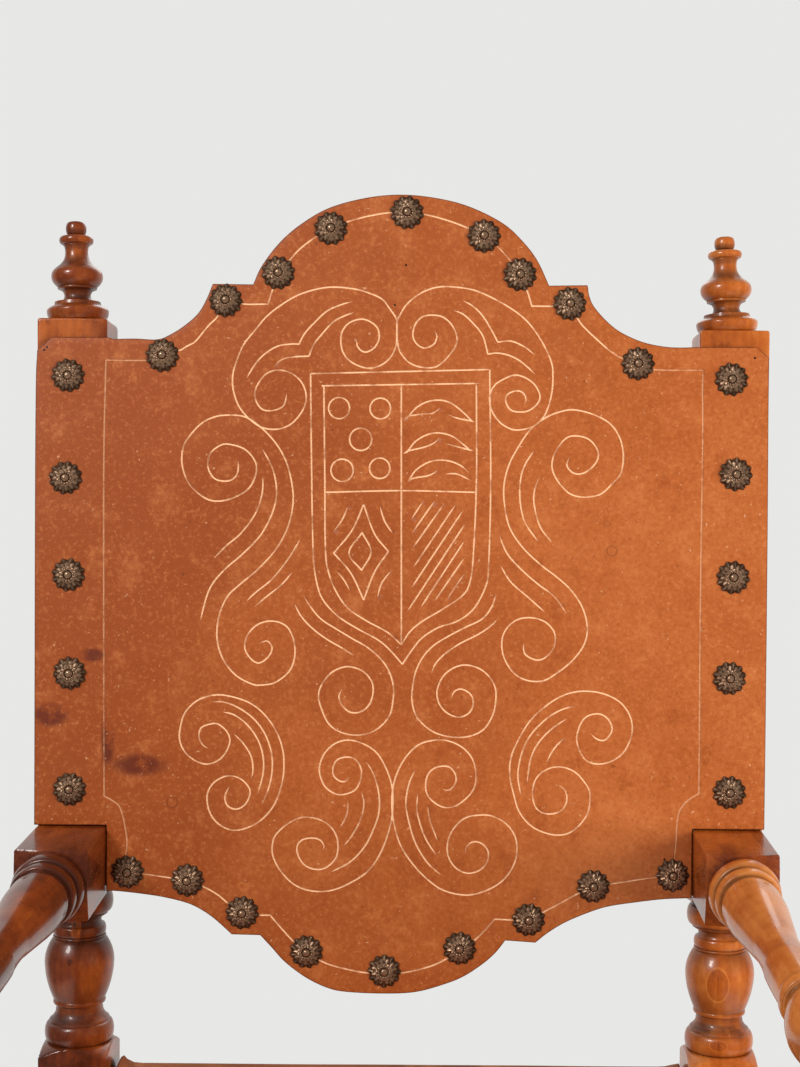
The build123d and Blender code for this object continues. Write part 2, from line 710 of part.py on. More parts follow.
def hide_outline(inset):
    """The outline of the back panel, drawn in by an inset."""
    with BuildSketch() as panel:
        with BuildLine():
            Polyline((-notch_half, notch_edge), (-notch_half, 0), (-hide_half, 0),
                     (-hide_half, shoulder_height - corner_cut),
                     (-hide_half + corner_cut, shoulder_height),
                     (-shoulder_half, shoulder_height))
            TangentArc((-shoulder_half, shoulder_height),
                       (-upper_step_outer, upper_step_height), tangent=(1, 0))
            Line((-upper_step_outer, upper_step_height), (-upper_step_inner, upper_step_height))
            ThreePointArc((-upper_step_inner, upper_step_height), (0, arch_height),
                          (upper_step_inner, upper_step_height))
            Line((upper_step_inner, upper_step_height), (upper_step_outer, upper_step_height))
            TangentArc((shoulder_half, shoulder_height),
                       (upper_step_outer, upper_step_height), tangent=(-1, 0))
            Polyline((shoulder_half, shoulder_height),
                     (hide_half - corner_cut, shoulder_height),
                     (hide_half, shoulder_height - corner_cut),
                     (hide_half, 0), (notch_half, 0), (notch_half, notch_edge),
                     (lower_edge_half, notch_edge))
            TangentArc((lower_edge_half, notch_edge),
                       (lobe_right + right_step, -lower_step_depth), tangent=(-1, 0))
            Line((lobe_right + right_step, -lower_step_depth), (lobe_right, -lower_step_depth))
            ThreePointArc((lobe_right, -lower_step_depth), (lobe_shift, -lobe_depth),
                          (lobe_left, -lower_step_depth))
            Line((lobe_left, -lower_step_depth), (lobe_left - left_step, -lower_step_depth))
            TangentArc((-lower_edge_half, notch_edge),
                       (lobe_left - left_step, -lower_step_depth), tangent=(1, 0))
            Line((-lower_edge_half, notch_edge), (-notch_half, notch_edge))
        make_face()
        if inset:
            offset(amount=-inset, kind=Kind.INTERSECTION)
        with Locations(*wood_places, *free_places):
            Rectangle(nail_shank + 2 * nail_clearance, nail_shank + 2 * nail_clearance,
                      mode=Mode.SUBTRACT)
    return panel.sketch


with BuildPart() as back_lining:
    with BuildSketch(post_front):
        add(hide_outline(lining_inset))
    extrude(amount=lining_thick)
back_lining.part.label = "back_lining"
export_step(back_lining.part, "parts/back_lining.step")

with BuildPart() as back_leather:
    with BuildSketch(post_front.offset(lining_thick)):
        add(hide_outline(0))
    extrude(amount=hide_thick)
back_leather.part.label = "back_leather"
export_step(back_leather.part, "parts/back_leather.step")

# Nails of the back: those over wood are driven into it, and the others are bent flat behind.
back_thick = lining_thick + hide_thick
with BuildPart() as back_nails:
    drive_nails(post_front.offset(back_thick), wood_places, back_thick + nail_grip - nail_shank)
    drive_nails(post_front.offset(back_thick), free_places, back_thick, clinched=True)
back_nails.part.label = "back_nails"
export_step(back_nails.part, "parts/back_nails.step")

# Seat: a lining over the rails, and a hide over it that dips between the rails and is turned
# down over their outer faces. Both are cut out round the legs.
dip_x = leg_x - rail_thick / 2
dip_y = leg_spacing - rail_thick
flap_x = leg_x + rail_thick / 2
flap_y = leg_spacing / 2 + rail_thick / 2


def sagging_sheet(low, high):
    """A sheet over the rails, dished between them, between two levels over the rails."""
    with BuildSketch(Plane(origin=(0, middle_y, low))) as border:
        Rectangle(2 * flap_x, 2 * flap_y)
        Rectangle(2 * dip_x, dip_y, mode=Mode.SUBTRACT)
    extrude(border.sketch, amount=high - low)
    dishes = []
    for step, share in enumerate(sag_shares):
        y = middle_y + dip_y * (step / (len(sag_shares) - 1) - 1 / 2)
        dip = seat_sag * share
        with BuildSketch(Plane(origin=(0, y, 0), x_dir=(1, 0, 0), z_dir=(0, -1, 0))) as dish:
            with BuildLine():
                ThreePointArc((-dip_x, high), (0, high - dip), (dip_x, high))
                Line((dip_x, high), (dip_x, low))
                ThreePointArc((dip_x, low), (0, low - dip), (-dip_x, low))
                Line((-dip_x, low), (-dip_x, high))
            make_face()
        dishes.append(dish.sketch)
    loft(dishes, ruled=True)


def cut_round_legs(low, high):
    """Cut a sheet away where the legs pass through it."""
    with BuildSketch(Plane(origin=(0, middle_y, low))) as corners:
        with GridLocations(2 * leg_x, leg_spacing, 2, 2):
            Rectangle(leg_stock + 2 * hide_gap, leg_stock + 2 * hide_gap)
    extrude(corners.sketch, amount=high - low, mode=Mode.SUBTRACT)


lining_top = rail_top + seat_lining_thick
hide_low = lining_top + seat_layer_gap
hide_high = hide_low + seat_hide_thick
with BuildPart() as seat_lining:
    sagging_sheet(rail_top, lining_top)
    cut_round_legs(rail_top - seat_sag - overrun, lining_top + overrun)
seat_lining.part.label = "seat_lining"
export_step(seat_lining.part, "parts/seat_lining.step")

flap_low = rail_top - seat_flap
with BuildPart() as seat_leather:
    sagging_sheet(hide_low, hide_high)
    with BuildSketch(Plane(origin=(0, middle_y, flap_low))):
        Rectangle(2 * (flap_x + seat_hide_thick), 2 * (flap_y + seat_hide_thick))
        Rectangle(2 * flap_x, 2 * flap_y, mode=Mode.SUBTRACT)
    extrude(amount=hide_high - flap_low)
    cut_round_legs(flap_low - overrun, hide_high + overrun)
    for centre, outward, clear in rails.values():
        face = Plane(
            origin=centre + outward * (rail_reach + seat_hide_thick),
            x_dir=Vector(0, 0, 1).cross(outward),
            z_dir=outward,
        )
        places = end_nail_places if outward.Y else side_nail_places
        cut_nail_holes(face, places, seat_hide_thick)
seat_leather.part.label = "seat_leather"
export_step(seat_leather.part, "parts/seat_leather.step")

# Nails of the seat, along the turned-down edges of its hide.
with BuildPart() as seat_nails:
    for centre, outward, clear in rails.values():
        face = Plane(
            origin=centre + outward * (rail_reach + seat_hide_thick),
            x_dir=Vector(0, 0, 1).cross(outward),
            z_dir=outward,
        )
        places = end_nail_places if outward.Y else side_nail_places
        drive_nails(face, places, seat_hide_thick + nail_grip - nail_shank)
seat_nails.part.label = "seat_nails"
export_step(seat_nails.part, "parts/seat_nails.step")
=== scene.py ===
from functools import partial
from math import atan2, copysign, cos, hypot, pi, radians, sin, sqrt, tan

import bmesh
import bpy
import numpy as np
from mathutils import Matrix, Vector, kdtree, noise
from mathutils.geometry import delaunay_2d_cdt


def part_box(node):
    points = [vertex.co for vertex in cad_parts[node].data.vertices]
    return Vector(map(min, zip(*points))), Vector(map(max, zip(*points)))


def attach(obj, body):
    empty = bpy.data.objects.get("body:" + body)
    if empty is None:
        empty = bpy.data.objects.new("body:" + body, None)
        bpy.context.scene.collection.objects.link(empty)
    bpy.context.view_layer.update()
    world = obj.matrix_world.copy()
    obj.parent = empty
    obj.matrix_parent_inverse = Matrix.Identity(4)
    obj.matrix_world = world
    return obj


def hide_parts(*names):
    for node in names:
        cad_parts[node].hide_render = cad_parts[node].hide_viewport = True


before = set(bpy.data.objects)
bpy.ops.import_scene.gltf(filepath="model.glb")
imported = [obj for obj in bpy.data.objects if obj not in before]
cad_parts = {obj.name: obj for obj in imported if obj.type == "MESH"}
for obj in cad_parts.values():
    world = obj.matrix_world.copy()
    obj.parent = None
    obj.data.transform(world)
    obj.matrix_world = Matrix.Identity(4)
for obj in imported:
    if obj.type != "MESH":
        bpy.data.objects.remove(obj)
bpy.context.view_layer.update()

mm = 0.001

# Rear posts
# Each is one length of square hardwood, upright to the seat and leaning back above it. It is
# turned between its square blocks, stained orange brown and given a glossy varnish.
sides = {"left": -1, "right": 1}
leg_low, leg_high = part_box("front_leg_left")
post_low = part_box("rear_post_left")[0]
arm_low, arm_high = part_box("arm_left")
rail_low, rail_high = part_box("seat_rail_front")
half_stock = (leg_high.x - leg_low.x) / 2
leg_x = -(leg_high.x + leg_low.x) / 2
front_y = (leg_high.y + leg_low.y) / 2
rear_y = post_low.y + half_stock
rail_top = rail_high.z
arm_bottom, arm_top = arm_low.z, arm_high.z
arm_axis = (arm_bottom + arm_top) / 2
back_rake = radians(5)
arris = 1.9 * mm
notch_clear = 0.5 * mm  # between a hide and the wood that stands in its notch
foot_height = 55 * mm
stretcher_block = 100 * mm
block_below_rail = 20 * mm
block_above_rail = 35 * mm
support_length = 124 * mm
post_top_ease = 1.5 * mm
stretcher_top = foot_height + stretcher_block
block_bottom = rail_low.z - block_below_rail
block_top = rail_top + block_above_rail
notch_rise = (arm_top + notch_clear - rail_top - half_stock * sin(back_rake)) / cos(back_rake)
post_top_depth = 44 * mm  # the posts are planed thinner from behind, from the arms up
post_rises = {
    name: (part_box(f"rear_post_{name}")[1].z - rail_top) / cos(back_rake)
    - (half_stock - post_top_ease) * tan(back_rake)
    for name in sides
}
up_rake = Vector((0, sin(back_rake), cos(back_rake)))
front_normal = Vector((0, -cos(back_rake), sin(back_rake)))
across = Vector((1, 0, 0))

# Turned profiles, as rows from the lower or rear end: length, then the radius at the start, in
# the middle (None where the run is straight) and at the end. Lengths are shares of the sum of
# the column, and radii are shares of half the stock.
support_shares = (
    (16, 0.88, 1.0, 0.88), (2, 0.88, None, 0.86), (8.3, 0.85, 0.72, 0.68), (4, 0.67, None, 0.67),
    (3.5, 0.73, 0.76, 0.73), (27, 0.74, 0.92, 1.0), (21, 1.0, 0.97, 0.80), (1.2, 0.80, None, 0.74),
    (2.2, 0.74, 0.77, 0.74), (8.2, 0.72, 0.77, 0.72), (7, 0.68, 0.635, 0.70), (1.5, 0.74, None, 0.80),
    (2, 0.82, None, 0.82), (16, 0.86, 0.98, 0.86), (4, 0.80, None, 0.80),
)
leg_shares = (
    (18, 0.84, 0.98, 0.84), (4, 0.74, None, 0.72), (7, 0.68, 0.60, 0.64), (2, 0.74, None, 0.76),
    (5, 0.78, 0.81, 0.78), (40, 0.66, 0.92, 0.97), (68, 0.97, 0.86, 0.52), (2, 0.58, None, 0.60),
    (6, 0.64, 0.70, 0.64), (10, 0.55, 0.53, 0.66), (2, 0.74, None, 0.76), (18, 0.84, 0.98, 0.84),
)
foot_shares = (
    (1.5, 0.66, None, 0.72), (26.5, 0.72, 0.99, 0.72), (2, 0.66, None, 0.62), (7, 0.60, 0.56, 0.60),
    (1.5, 0.70, None, 0.76), (13.5, 0.84, 0.96, 0.84),
)
shoulder_flat_share = 0.94  # the lathe rounds the end of a block from here out,
shoulder_reach_share = 1.5  # to past its corners,
shoulder_drop_share = 0.4  # and this far back
face_steps = 18
corner_steps = 4
swell_steps = 16
bead_steps = 12
shoulder_steps = 14
hollow_reach = 5 * mm  # how far to each side a hollow is compared with its neighbours
hollow_depth_share = 0.16
turned_crease = radians(32)
weld_reach = 0.01 * mm


def square_columns(half):
    """Angles round a square stick with eased corners, and the distance to its face at each."""
    flat = half - arris
    points = []
    for quarter in range(4):
        turn = quarter * pi / 2
        side = [(half, flat * (2 * i / face_steps - 1)) for i in range(face_steps)]
        corner = [
            (flat + arris * cos(i * pi / 2 / corner_steps), flat + arris * sin(i * pi / 2 / corner_steps))
            for i in range(corner_steps)
        ]
        points += [(atan2(y, x) + turn, hypot(x, y)) for x, y in side + corner]
    return np.array(points)


def turned_rows(shares, start, length, half):
    """Places along a turned stretch, and the radius at each."""
    total = sum(row[0] for row in shares)
    rows = []
    for rise, first, middle, last in shares:
        run = length * rise / total
        if middle is None:
            steps = [0, 1]
            radii = [first, last]
        elif first == last:
            steps = [(1 - cos(pi * i / bead_steps)) / 2 for i in range(bead_steps + 1)]
            radii = [first + (middle - first) * sqrt(max(0, 1 - (2 * t - 1) ** 2)) for t in steps]
        else:
            steps = [i / swell_steps for i in range(swell_steps + 1)]
            bow = 4 * middle - 2 * (first + last)
            radii = [first + (last - first) * t + bow * t * (1 - t) for t in steps]
        rows += [(start + run * t, half * radius) for t, radius in zip(steps, radii)]
        start += run
    return rows


def shoulder_rows(end, inward, half, drop_share=shoulder_drop_share):
    """The rounded end of a square block, from its end face inwards."""
    flat, reach = half * shoulder_flat_share, half * shoulder_reach_share
    drop = half * drop_share
    return [
        (end + inward * drop * i / shoulder_steps, flat + (reach - flat) * (i / shoulder_steps) ** 0.8)
        for i in range(shoulder_steps + 1)
    ]


def shoulder_to(end, half, drop_share=shoulder_drop_share):
    """The rounded end of a square block, from inside the block out to its end face."""
    return shoulder_rows(end, -1, half, drop_share)[::-1]


def lathe_piece(name, rows, place, half, rear_plane=None):
    """A closed piece from places along its axis. place gives the middle and the two directions
    across the stick at each. The attribute hollow marks the bottoms of beads and coves."""
    columns = square_columns(half)
    turn, square = columns[:, 0], columns[:, 1]
    count = len(columns)
    at = np.array([row[0] for row in rows])
    radius = np.minimum(np.array([row[1] for row in rows]), half * shoulder_reach_share)
    vertices, hollow = [], []
    insets = [row[2] if len(row) > 2 else 0 for row in rows]
    for distance, reach, inset in zip(at, radius, insets):
        middle, u, v = (np.array(part) for part in place(distance))
        ring = np.minimum(reach, square - inset)
        vertices.append(middle + np.outer(ring * np.cos(turn), u) + np.outer(ring * np.sin(turn), v))
        near = np.interp(distance + np.linspace(-hollow_reach, hollow_reach, 11), at, radius)
        depth = (np.minimum(near, half).max() - min(reach, half)) / (half * hollow_depth_share)
        hollow.append(np.full(count, min(1, max(0, depth))))
    first, last = place(at[0])[0], place(at[-1])[0]
    vertices = np.concatenate(vertices + [np.array([first, last])])
    hollow = np.concatenate(hollow + [np.zeros(2)])
    if rear_plane is not None:
        cut = list(range(count)) + [len(vertices) - 2]
        vertices[cut, 1] += (vertices[cut, 2] - rear_plane) * tan(back_rake)
    faces = []
    for ring in range(len(rows) - 1):
        for i in range(count):
            j = (i + 1) % count
            low, high = ring * count, (ring + 1) * count
            faces.append((low + i, low + j, high + j, high + i))
    top = (len(rows) - 1) * count
    faces += [(len(vertices) - 2, (i + 1) % count, i) for i in range(count)]
    faces += [(len(vertices) - 1, top + i, top + (i + 1) % count) for i in range(count)]
    mesh = bpy.data.meshes.new(name)
    mesh.from_pydata(vertices.tolist(), [], faces)
    mark_points(mesh, "hollow", hollow)
    return finish_mesh(name, mesh, turned_crease)


def placed(name, data):
    """An object in the scene."""
    made = bpy.data.objects.new(name, data)
    bpy.context.scene.collection.objects.link(made)
    return made


def mark_points(mesh, label, values, kind="FLOAT", key="value"):
    """An attribute of a mesh, with a value for each of its points."""
    values = np.array(values, np.float32).ravel()
    mesh.attributes.new(label, kind, "POINT").data.foreach_set(key, values)


def finish_mesh(name, mesh, crease):
    """Merge doubled points, turn faces outwards, and shade smooth up to the crease angle."""
    shape = bmesh.new()
    shape.from_mesh(mesh)
    bmesh.ops.remove_doubles(shape, verts=shape.verts, dist=weld_reach)
    bmesh.ops.dissolve_degenerate(shape, edges=shape.edges, dist=weld_reach)
    bmesh.ops.recalc_face_normals(shape, faces=shape.faces)
    shape.to_mesh(mesh)
    shape.free()
    mesh.shade_smooth()
    mesh.set_sharp_from_angle(angle=crease)
    return placed(name, mesh)


def put(tree, kind, inputs=None, **settings):
    """Add a node to a tree, with its settings, and link or set its inputs."""
    made = tree.nodes.new(kind)
    for key, value in settings.items():
        setattr(made, key, value)
    for key, value in (inputs or {}).items():
        if isinstance(value, bpy.types.NodeSocket):
            tree.links.new(value, made.inputs[key])
        else:
            made.inputs[key].default_value = value
    return made


def worked_out(operation, *values, clamp=False):
    """The output of a Math node, in the tree of the first value that is a socket."""
    tree = next(value.id_data for value in values if isinstance(value, bpy.types.NodeSocket))
    inputs = dict(enumerate(values))
    return put(tree, "ShaderNodeMath", inputs, operation=operation, use_clamp=clamp).outputs[0]


plus, less = partial(worked_out, "ADD"), partial(worked_out, "SUBTRACT")
times, most = partial(worked_out, "MULTIPLY"), partial(worked_out, "MAXIMUM")
size_of = partial(worked_out, "ABSOLUTE")


def between(value, low, high):
    """A value mapped smoothly from low and high to 0 and 1."""
    inputs = {"Value": value, "From Min": low, "From Max": high}
    return put(value.id_data, "ShaderNodeMapRange", inputs, interpolation_type="SMOOTHSTEP").outputs[0]


def ranged(value, low, high):
    """A value from 0 to 1 mapped to low and high."""
    inputs = {"Value": value, "To Min": low, "To Max": high}
    return put(value.id_data, "ShaderNodeMapRange", inputs).outputs[0]


def cloud(vector, scale, detail=3.0, roughness=0.55):
    """The output of a Noise texture."""
    inputs = {"Vector": vector, "Scale": scale, "Detail": detail, "Roughness": roughness}
    return put(vector.id_data, "ShaderNodeTexNoise", inputs).outputs["Fac"]


def stretched(vector, scale=(1, 1, 1), location=(0, 0, 0), rotation=(0, 0, 0)):
    """A vector through a Mapping node."""
    inputs = {"Vector": vector, "Scale": scale, "Location": location, "Rotation": rotation}
    return put(vector.id_data, "ShaderNodeMapping", inputs).outputs["Vector"]


def blended(mask, first, second):
    """Two colours mixed by a mask."""
    inputs = {0: mask}
    for key, value in ((6, first), (7, second)):
        inputs[key] = (*value, 1) if isinstance(value, tuple) else value
    return put(mask.id_data, "ShaderNodeMix", inputs, data_type="RGBA").outputs[2]


def shader_group(name, inputs):
    """An empty shader node group with named inputs, and what they give."""
    group = bpy.data.node_groups.new(name, "ShaderNodeTree")
    for label, kind in inputs:
        group.interface.new_socket(label, in_out="INPUT", socket_type=kind)
    return group, put(group, "NodeGroupInput").outputs


def end_group(group, outputs):
    """Give a shader node group its named values."""
    for label in outputs:
        group.interface.new_socket(label, in_out="OUTPUT", socket_type="NodeSocketFloat")
    put(group, "NodeGroupOutput", outputs)
    return group


def new_material(name):
    """A material, its tree, its shader, and the place on the piece."""
    material = bpy.data.materials.new(name)
    material.use_nodes = True
    tree = material.node_tree
    return material, tree, tree.nodes["Principled BSDF"], put(tree, "ShaderNodeTexCoord").outputs["Object"]


def finish_material(tree, shader, colour, rough, height, strength, distance):
    """Link a colour, a roughness and a height to the shader."""
    tree.links.new(colour, shader.inputs["Base Color"])
    tree.links.new(rough, shader.inputs["Roughness"])
    bump = put(tree, "ShaderNodeBump", {"Height": height, "Strength": strength, "Distance": distance})
    tree.links.new(bump.outputs["Normal"], shader.inputs["Normal"])


def mark_on(tree, label):
    """The value of a mesh attribute."""
    return put(tree, "ShaderNodeAttribute", attribute_name=label).outputs["Fac"]


def part_of(vector, label):
    """One part of a vector."""
    return put(vector.id_data, "ShaderNodeSeparateXYZ", {"Vector": vector}).outputs[label]


def length_of(vector):
    """The length of a vector."""
    return put(vector.id_data, "ShaderNodeVectorMath", {0: vector}, operation="LENGTH").outputs["Value"]


def grouped(group, **inputs):
    """What a node group gives for its inputs."""
    made = put(inputs["Vector"].id_data, "ShaderNodeGroup", node_tree=group)
    for label, socket in inputs.items():
        made.id_data.links.new(socket, made.inputs[label])
    return made.outputs


def dress(piece, node, finish=None):
    """The piece rides on the chair's one body and replaces a node, in a finish."""
    if finish:
        piece.data.materials.append(finish)
    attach(piece, "root")
    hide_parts(node)


def wood_figure():
    """Growth rings, pores and slow changes of tone, with the grain along Z."""
    group, given = shader_group("wood_figure", [("Vector", "NodeSocketVector")])
    slow = stretched(given["Vector"], (1, 1, 0.16))
    sway = put(group, "ShaderNodeTexNoise", {"Vector": slow, "Scale": 9.0, "Detail": 2.0})
    swayed = put(group, "ShaderNodeVectorMath", {0: sway.outputs["Color"], "Scale": 0.03}, operation="SCALE")
    moved = put(group, "ShaderNodeVectorMath", {0: slow, 1: swayed.outputs[0]}, operation="ADD")
    centred = stretched(moved.outputs[0], location=(0.11, -0.16, 0))
    wave = put(
        group, "ShaderNodeTexWave",
        {"Vector": centred, "Scale": 52.0, "Distortion": 1.2, "Detail": 3.0, "Detail Scale": 2.0},
        wave_type="RINGS", rings_direction="Z", wave_profile="SAW",
    )
    rings = between(wave.outputs["Fac"], 0.15, 0.95)
    streaks = cloud(stretched(given["Vector"], (1, 1, 0.035)), 620.0, 2.0, 0.6)
    pores = between(streaks, 0.62, 0.74)
    tone = cloud(stretched(given["Vector"], (1, 1, 0.45)), 15.0, 4.0, 0.6)
    return end_group(group, {"Rings": rings, "Pores": pores, "Tone": tone, "Height": times(pores, -1.0)})


def old_dirt_and_shade():
    """Painted shade with dirt in the hollows, specks of dirt, and rubbed places, from a hollow mask and a
    vector.
    """
    group, given = shader_group("old_dirt_and_shade", [("Vector", "NodeSocketVector"), ("Hollow", "NodeSocketFloat")])
    patches = cloud(given["Vector"], 34.0, 5.0, 0.65)
    # Darkening in the hollows of the turnings: painted shade, with dirt.
    edge = times(given["Hollow"], between(patches, 0.25, 0.6))
    specks = between(cloud(given["Vector"], 190.0, 2.0, 0.5), 0.70, 0.78)
    dirt_and_shade = most(edge, times(specks, 0.5))
    rubbed = between(cloud(given["Vector"], 11.0, 4.0, 0.6), 0.52, 0.72)
    smears = cloud(given["Vector"], 70.0, 4.0, 0.7)
    return end_group(group, {"Dirt And Shade": dirt_and_shade, "Rubbed": rubbed, "Smears": smears})


figure_group = wood_figure()
dirt_and_shade_group = old_dirt_and_shade()
wood_dark = (0.070, 0.012, 0.003)
wood_brown = (0.175, 0.030, 0.005)
wood_orange = (0.430, 0.098, 0.012)
wood_amber = (0.700, 0.240, 0.050)
# Dark brown for dirt with painted shade, in the hollows of the wood and in pin holes.
dirt_and_shade_brown = (0.024, 0.007, 0.003)
grain_turns = {"x": (0, pi / 2, 0), "y": (pi / 2, 0, 0), "z": (0, 0, 0)}


def varnished_wood(name, axis, tone=0.5, fade=None, marks=()):
    """Stained and varnished hardwood with its grain along an axis. tone runs from dark at 0 to
    amber at 1, and fade is an amount added to it between two places along an axis. Marks are
    repairs seen from the front: across, up, half width, half height, and what it looks like."""
    material, tree, shader, here = new_material(name)
    along = stretched(here, rotation=grain_turns[axis])
    figure = grouped(figure_group, Vector=along)
    hollow = mark_on(tree, "hollow")
    dirt_and_shade = grouped(dirt_and_shade_group, Vector=here, Hollow=hollow)
    blotches = times(less(figure["Tone"], 0.5), 1.5)
    smears = times(less(dirt_and_shade["Smears"], 0.5), 0.5)
    shade = plus(plus(blotches, smears), tone)
    shade = plus(shade, times(figure["Rings"], 0.05))
    shade = less(shade, times(figure["Pores"], 0.16))
    if fade:
        along_axis, start, end, amount = fade
        at = part_of(here, along_axis)
        shade = plus(shade, times(between(at, start, end), amount))
    for mark in marks:
        shade = add_repair(here, shade, *mark)
    shade = plus(shade, times(dirt_and_shade["Rubbed"], 0.10))
    ground = blended(between(shade, 0.0, 0.33), wood_dark, wood_brown)
    warm = blended(between(shade, 0.25, 0.68), ground, wood_orange)
    bright = blended(between(shade, 0.60, 1.05), warm, wood_amber)
    # The hollows are darkened in the colour: painted shade, with dirt.
    soiled_and_shaded = blended(times(dirt_and_shade["Dirt And Shade"], 0.80), bright, dirt_and_shade_brown)
    rough = plus(ranged(dirt_and_shade["Smears"], 0.18, 0.36), times(dirt_and_shade["Dirt And Shade"], 0.25))
    height = plus(figure["Height"], times(dirt_and_shade["Smears"], 0.8))
    finish_material(tree, shader, soiled_and_shaded, rough, height, 0.12, 0.0006)
    shader.inputs["Coat Weight"].default_value = 0.35
    shader.inputs["Coat Roughness"].default_value = 0.08
    return material


def dress_in_wood(piece, node, *finish):
    """The piece replaces a node, in varnished wood made from the rest."""
    dress(piece, node, varnished_wood(*finish))


def add_repair(here, shade, x, z, half_x, half_z, look):
    """The shade of the wood with a plug, a paler patch or a crack in it."""
    scale = (1 / half_x, 0, 1 / half_z)
    moved = stretched(here, scale, (-x / half_x, 0, -z / half_z))
    reach = length_of(moved)
    wobble = times(less(cloud(here, 160.0, 3.0), 0.5), 1.0)
    if look == "plug":
        rim = size_of(less(reach, 1.0))
        inside = times(between(reach, 1.02, 0.96), -0.12)
        line = times(between(rim, 0.10, 0.03), 0.16)
        sides_off = size_of(part_of(moved, "X"))
        seam = times(between(sides_off, 0.10, 0.02), between(reach, 0.7, 0.5))
        change = plus(plus(inside, line), times(seam, -0.12))
    else:
        ragged = plus(reach, wobble)
        amount = {"patch": 0.34, "crack": -0.45}[look]
        change = times(between(ragged, 1.15, 0.75), amount)
    return plus(shade, change)


top_spreads = {"left": 1.3 * mm, "right": 2.6 * mm}  # how far each post's top leans outward


def post_place(side):
    """Where a rear post's axis is at a distance from the floor, measured along the stick."""
    def place(distance):
        rise = distance - rail_top
        if rise <= 0:
            return Vector((side * leg_x, rear_y, distance)), across, Vector((0, 1, 0))
        thinned = max(0, rise - notch_rise) / (post_rises["left"] - notch_rise)
        depth = 1 - thinned * (1 - post_top_depth / (2 * half_stock))
        spread = top_spreads["left" if side < 0 else "right"] * rise / post_rises["left"]
        middle = Vector((side * (leg_x + spread), rear_y, rail_top)) + up_rake * rise
        return middle + front_normal * half_stock * (1 - depth), across, -front_normal * depth
    return place


def lower_leg_rows(half, top, turning_top):
    """The foot, the stretcher block, the lower leg, the seat block up to its top, and the turned
    stretch above it, from the floor up."""
    whole = half * shoulder_reach_share
    rows = turned_rows(foot_shares, 0, foot_height, half)
    rows += shoulder_rows(foot_height, 1, half)
    rows += shoulder_to(stretcher_top, half)
    rows += turned_rows(leg_shares, stretcher_top, block_bottom - stretcher_top, half)
    rows += shoulder_rows(block_bottom, 1, half)
    rows += [(rail_top, whole)]
    rows += shoulder_to(top, half)
    rows += turned_rows(support_shares, top, turning_top - top, half)
    return rows


def rounded_top(end, half):
    """The top of a post: its edges are rounded over by hand, and most of all the rear one."""
    turn = square_columns(half)[:, 0]
    ease = 1.1 * mm + 2.4 * mm * np.cos(turn) ** 2 + 5 * mm * np.maximum(0, np.sin(turn)) ** 2
    rows = []
    for below in (9, 6.5, 4.8, 3.4, 2.4, 1.6, 1, 0.5, 0.15, 0):
        share = np.clip(1 - below * mm / ease, 0, 1)
        rows.append((end - below * mm, half * shoulder_reach_share, ease * (1 - np.sqrt(1 - share ** 2))))
    return rows


seat_block_drops = {"left": 4.5 * mm, "right": 8.5 * mm}  # turned by hand, they differ
arm_block_drops = {"left": 1 * mm, "right": 9 * mm}
post_marks = {
    "left": [
        (-262.5 * mm, 0.580, 4.5 * mm, 14 * mm, "patch"), (-264.5 * mm, 0.596, 1.2 * mm, 19 * mm, "crack"),
        (-258.5 * mm, 0.590, 1.0 * mm, 12 * mm, "crack"), (-266 * mm, 0.553, 3 * mm, 3 * mm, "plug"),
    ],
    "right": [
        (258.5 * mm, 0.5375, 8.8 * mm, 13.8 * mm, "plug"), (259.5 * mm, 0.4885, 7 * mm, 4.2 * mm, "plug"),
    ],
}
# Each post's tone is partly the wood's own and partly painted light: darker on the left, which stood in
# shade, and paler on the right, which was lit.
post_tone_and_light = {"left": 0.36, "right": 0.68}
# Below the arms the left post is darker, painted shade under its arm with dirt, and the right one a little
# paler.
low_shade_and_dirt = {"left": -0.20, "right": 0.08}  # what the part below the arms adds
for name, side in sides.items():
    arm_block_start = block_top + support_length - arm_block_drops[name]
    whole = half_stock * shoulder_reach_share
    rows = lower_leg_rows(half_stock, block_top - seat_block_drops[name], arm_block_start)
    rows += shoulder_rows(arm_block_start, 1, half_stock)
    rows += [(rail_top + notch_rise, whole)] + rounded_top(rail_top + post_rises[name], half_stock)
    post = lathe_piece(f"turned_rear_post_{name}", rows, post_place(side), half_stock)
    low_shade_and_dirt_fade = ("Z", arm_axis, arm_bottom - 20 * mm, low_shade_and_dirt[name])
    dress_in_wood(
        post, f"rear_post_{name}", f"post_wood_{name}", "z", post_tone_and_light[name], low_shade_and_dirt_fade, post_marks[name]
    )

# Finials
# A turned knop on each post: a torus, a pear-shaped body, a thin ring and a ball. Each is
# turned by itself and glued by a round tenon into the top of its post.
finial_shares = (
    (0.6, 0.76, None, 0.80), (6.9, 0.80, 0.865, 0.885), (4.6, 0.885, 0.845, 0.70), (0.7, 0.70, None, 0.67),
    (2.4, 0.67, None, 0.655), (9.2, 0.48, 0.375, 0.45), (1.0, 0.46, None, 0.53), (2.0, 0.545, 0.565, 0.545),
    (8.1, 0.57, 0.70, 0.735), (4.8, 0.735, 0.725, 0.68), (4.0, 0.68, 0.605, 0.516), (4.1, 0.516, 0.44, 0.385),
    (5.4, 0.385, 0.345, 0.328), (6.3, 0.328, 0.33, 0.355), (1.1, 0.375, None, 0.375), (6.4, 0.40, 0.49, 0.40),
    (0.5, 0.30, None, 0.24), (10.9, 0.20, 0.295, 0.20), (0.6, 0.20, 0.16, 0.05),
)
finial_heights = {"left": 81 * mm, "right": 78.5 * mm}
# Partly the wood's own tone and partly painted light: the left finial darker for the shade it stood in, the
# right paler where it was lit.
finial_tone_and_light = {"left": 0.26, "right": 0.68}
finial_slips = {"left": 0, "right": 2.6 * mm}  # the right one stands off its post's axis
finial_leans = {"left": radians(-1.4), "right": radians(-2.3)}  # the right one was glued askew


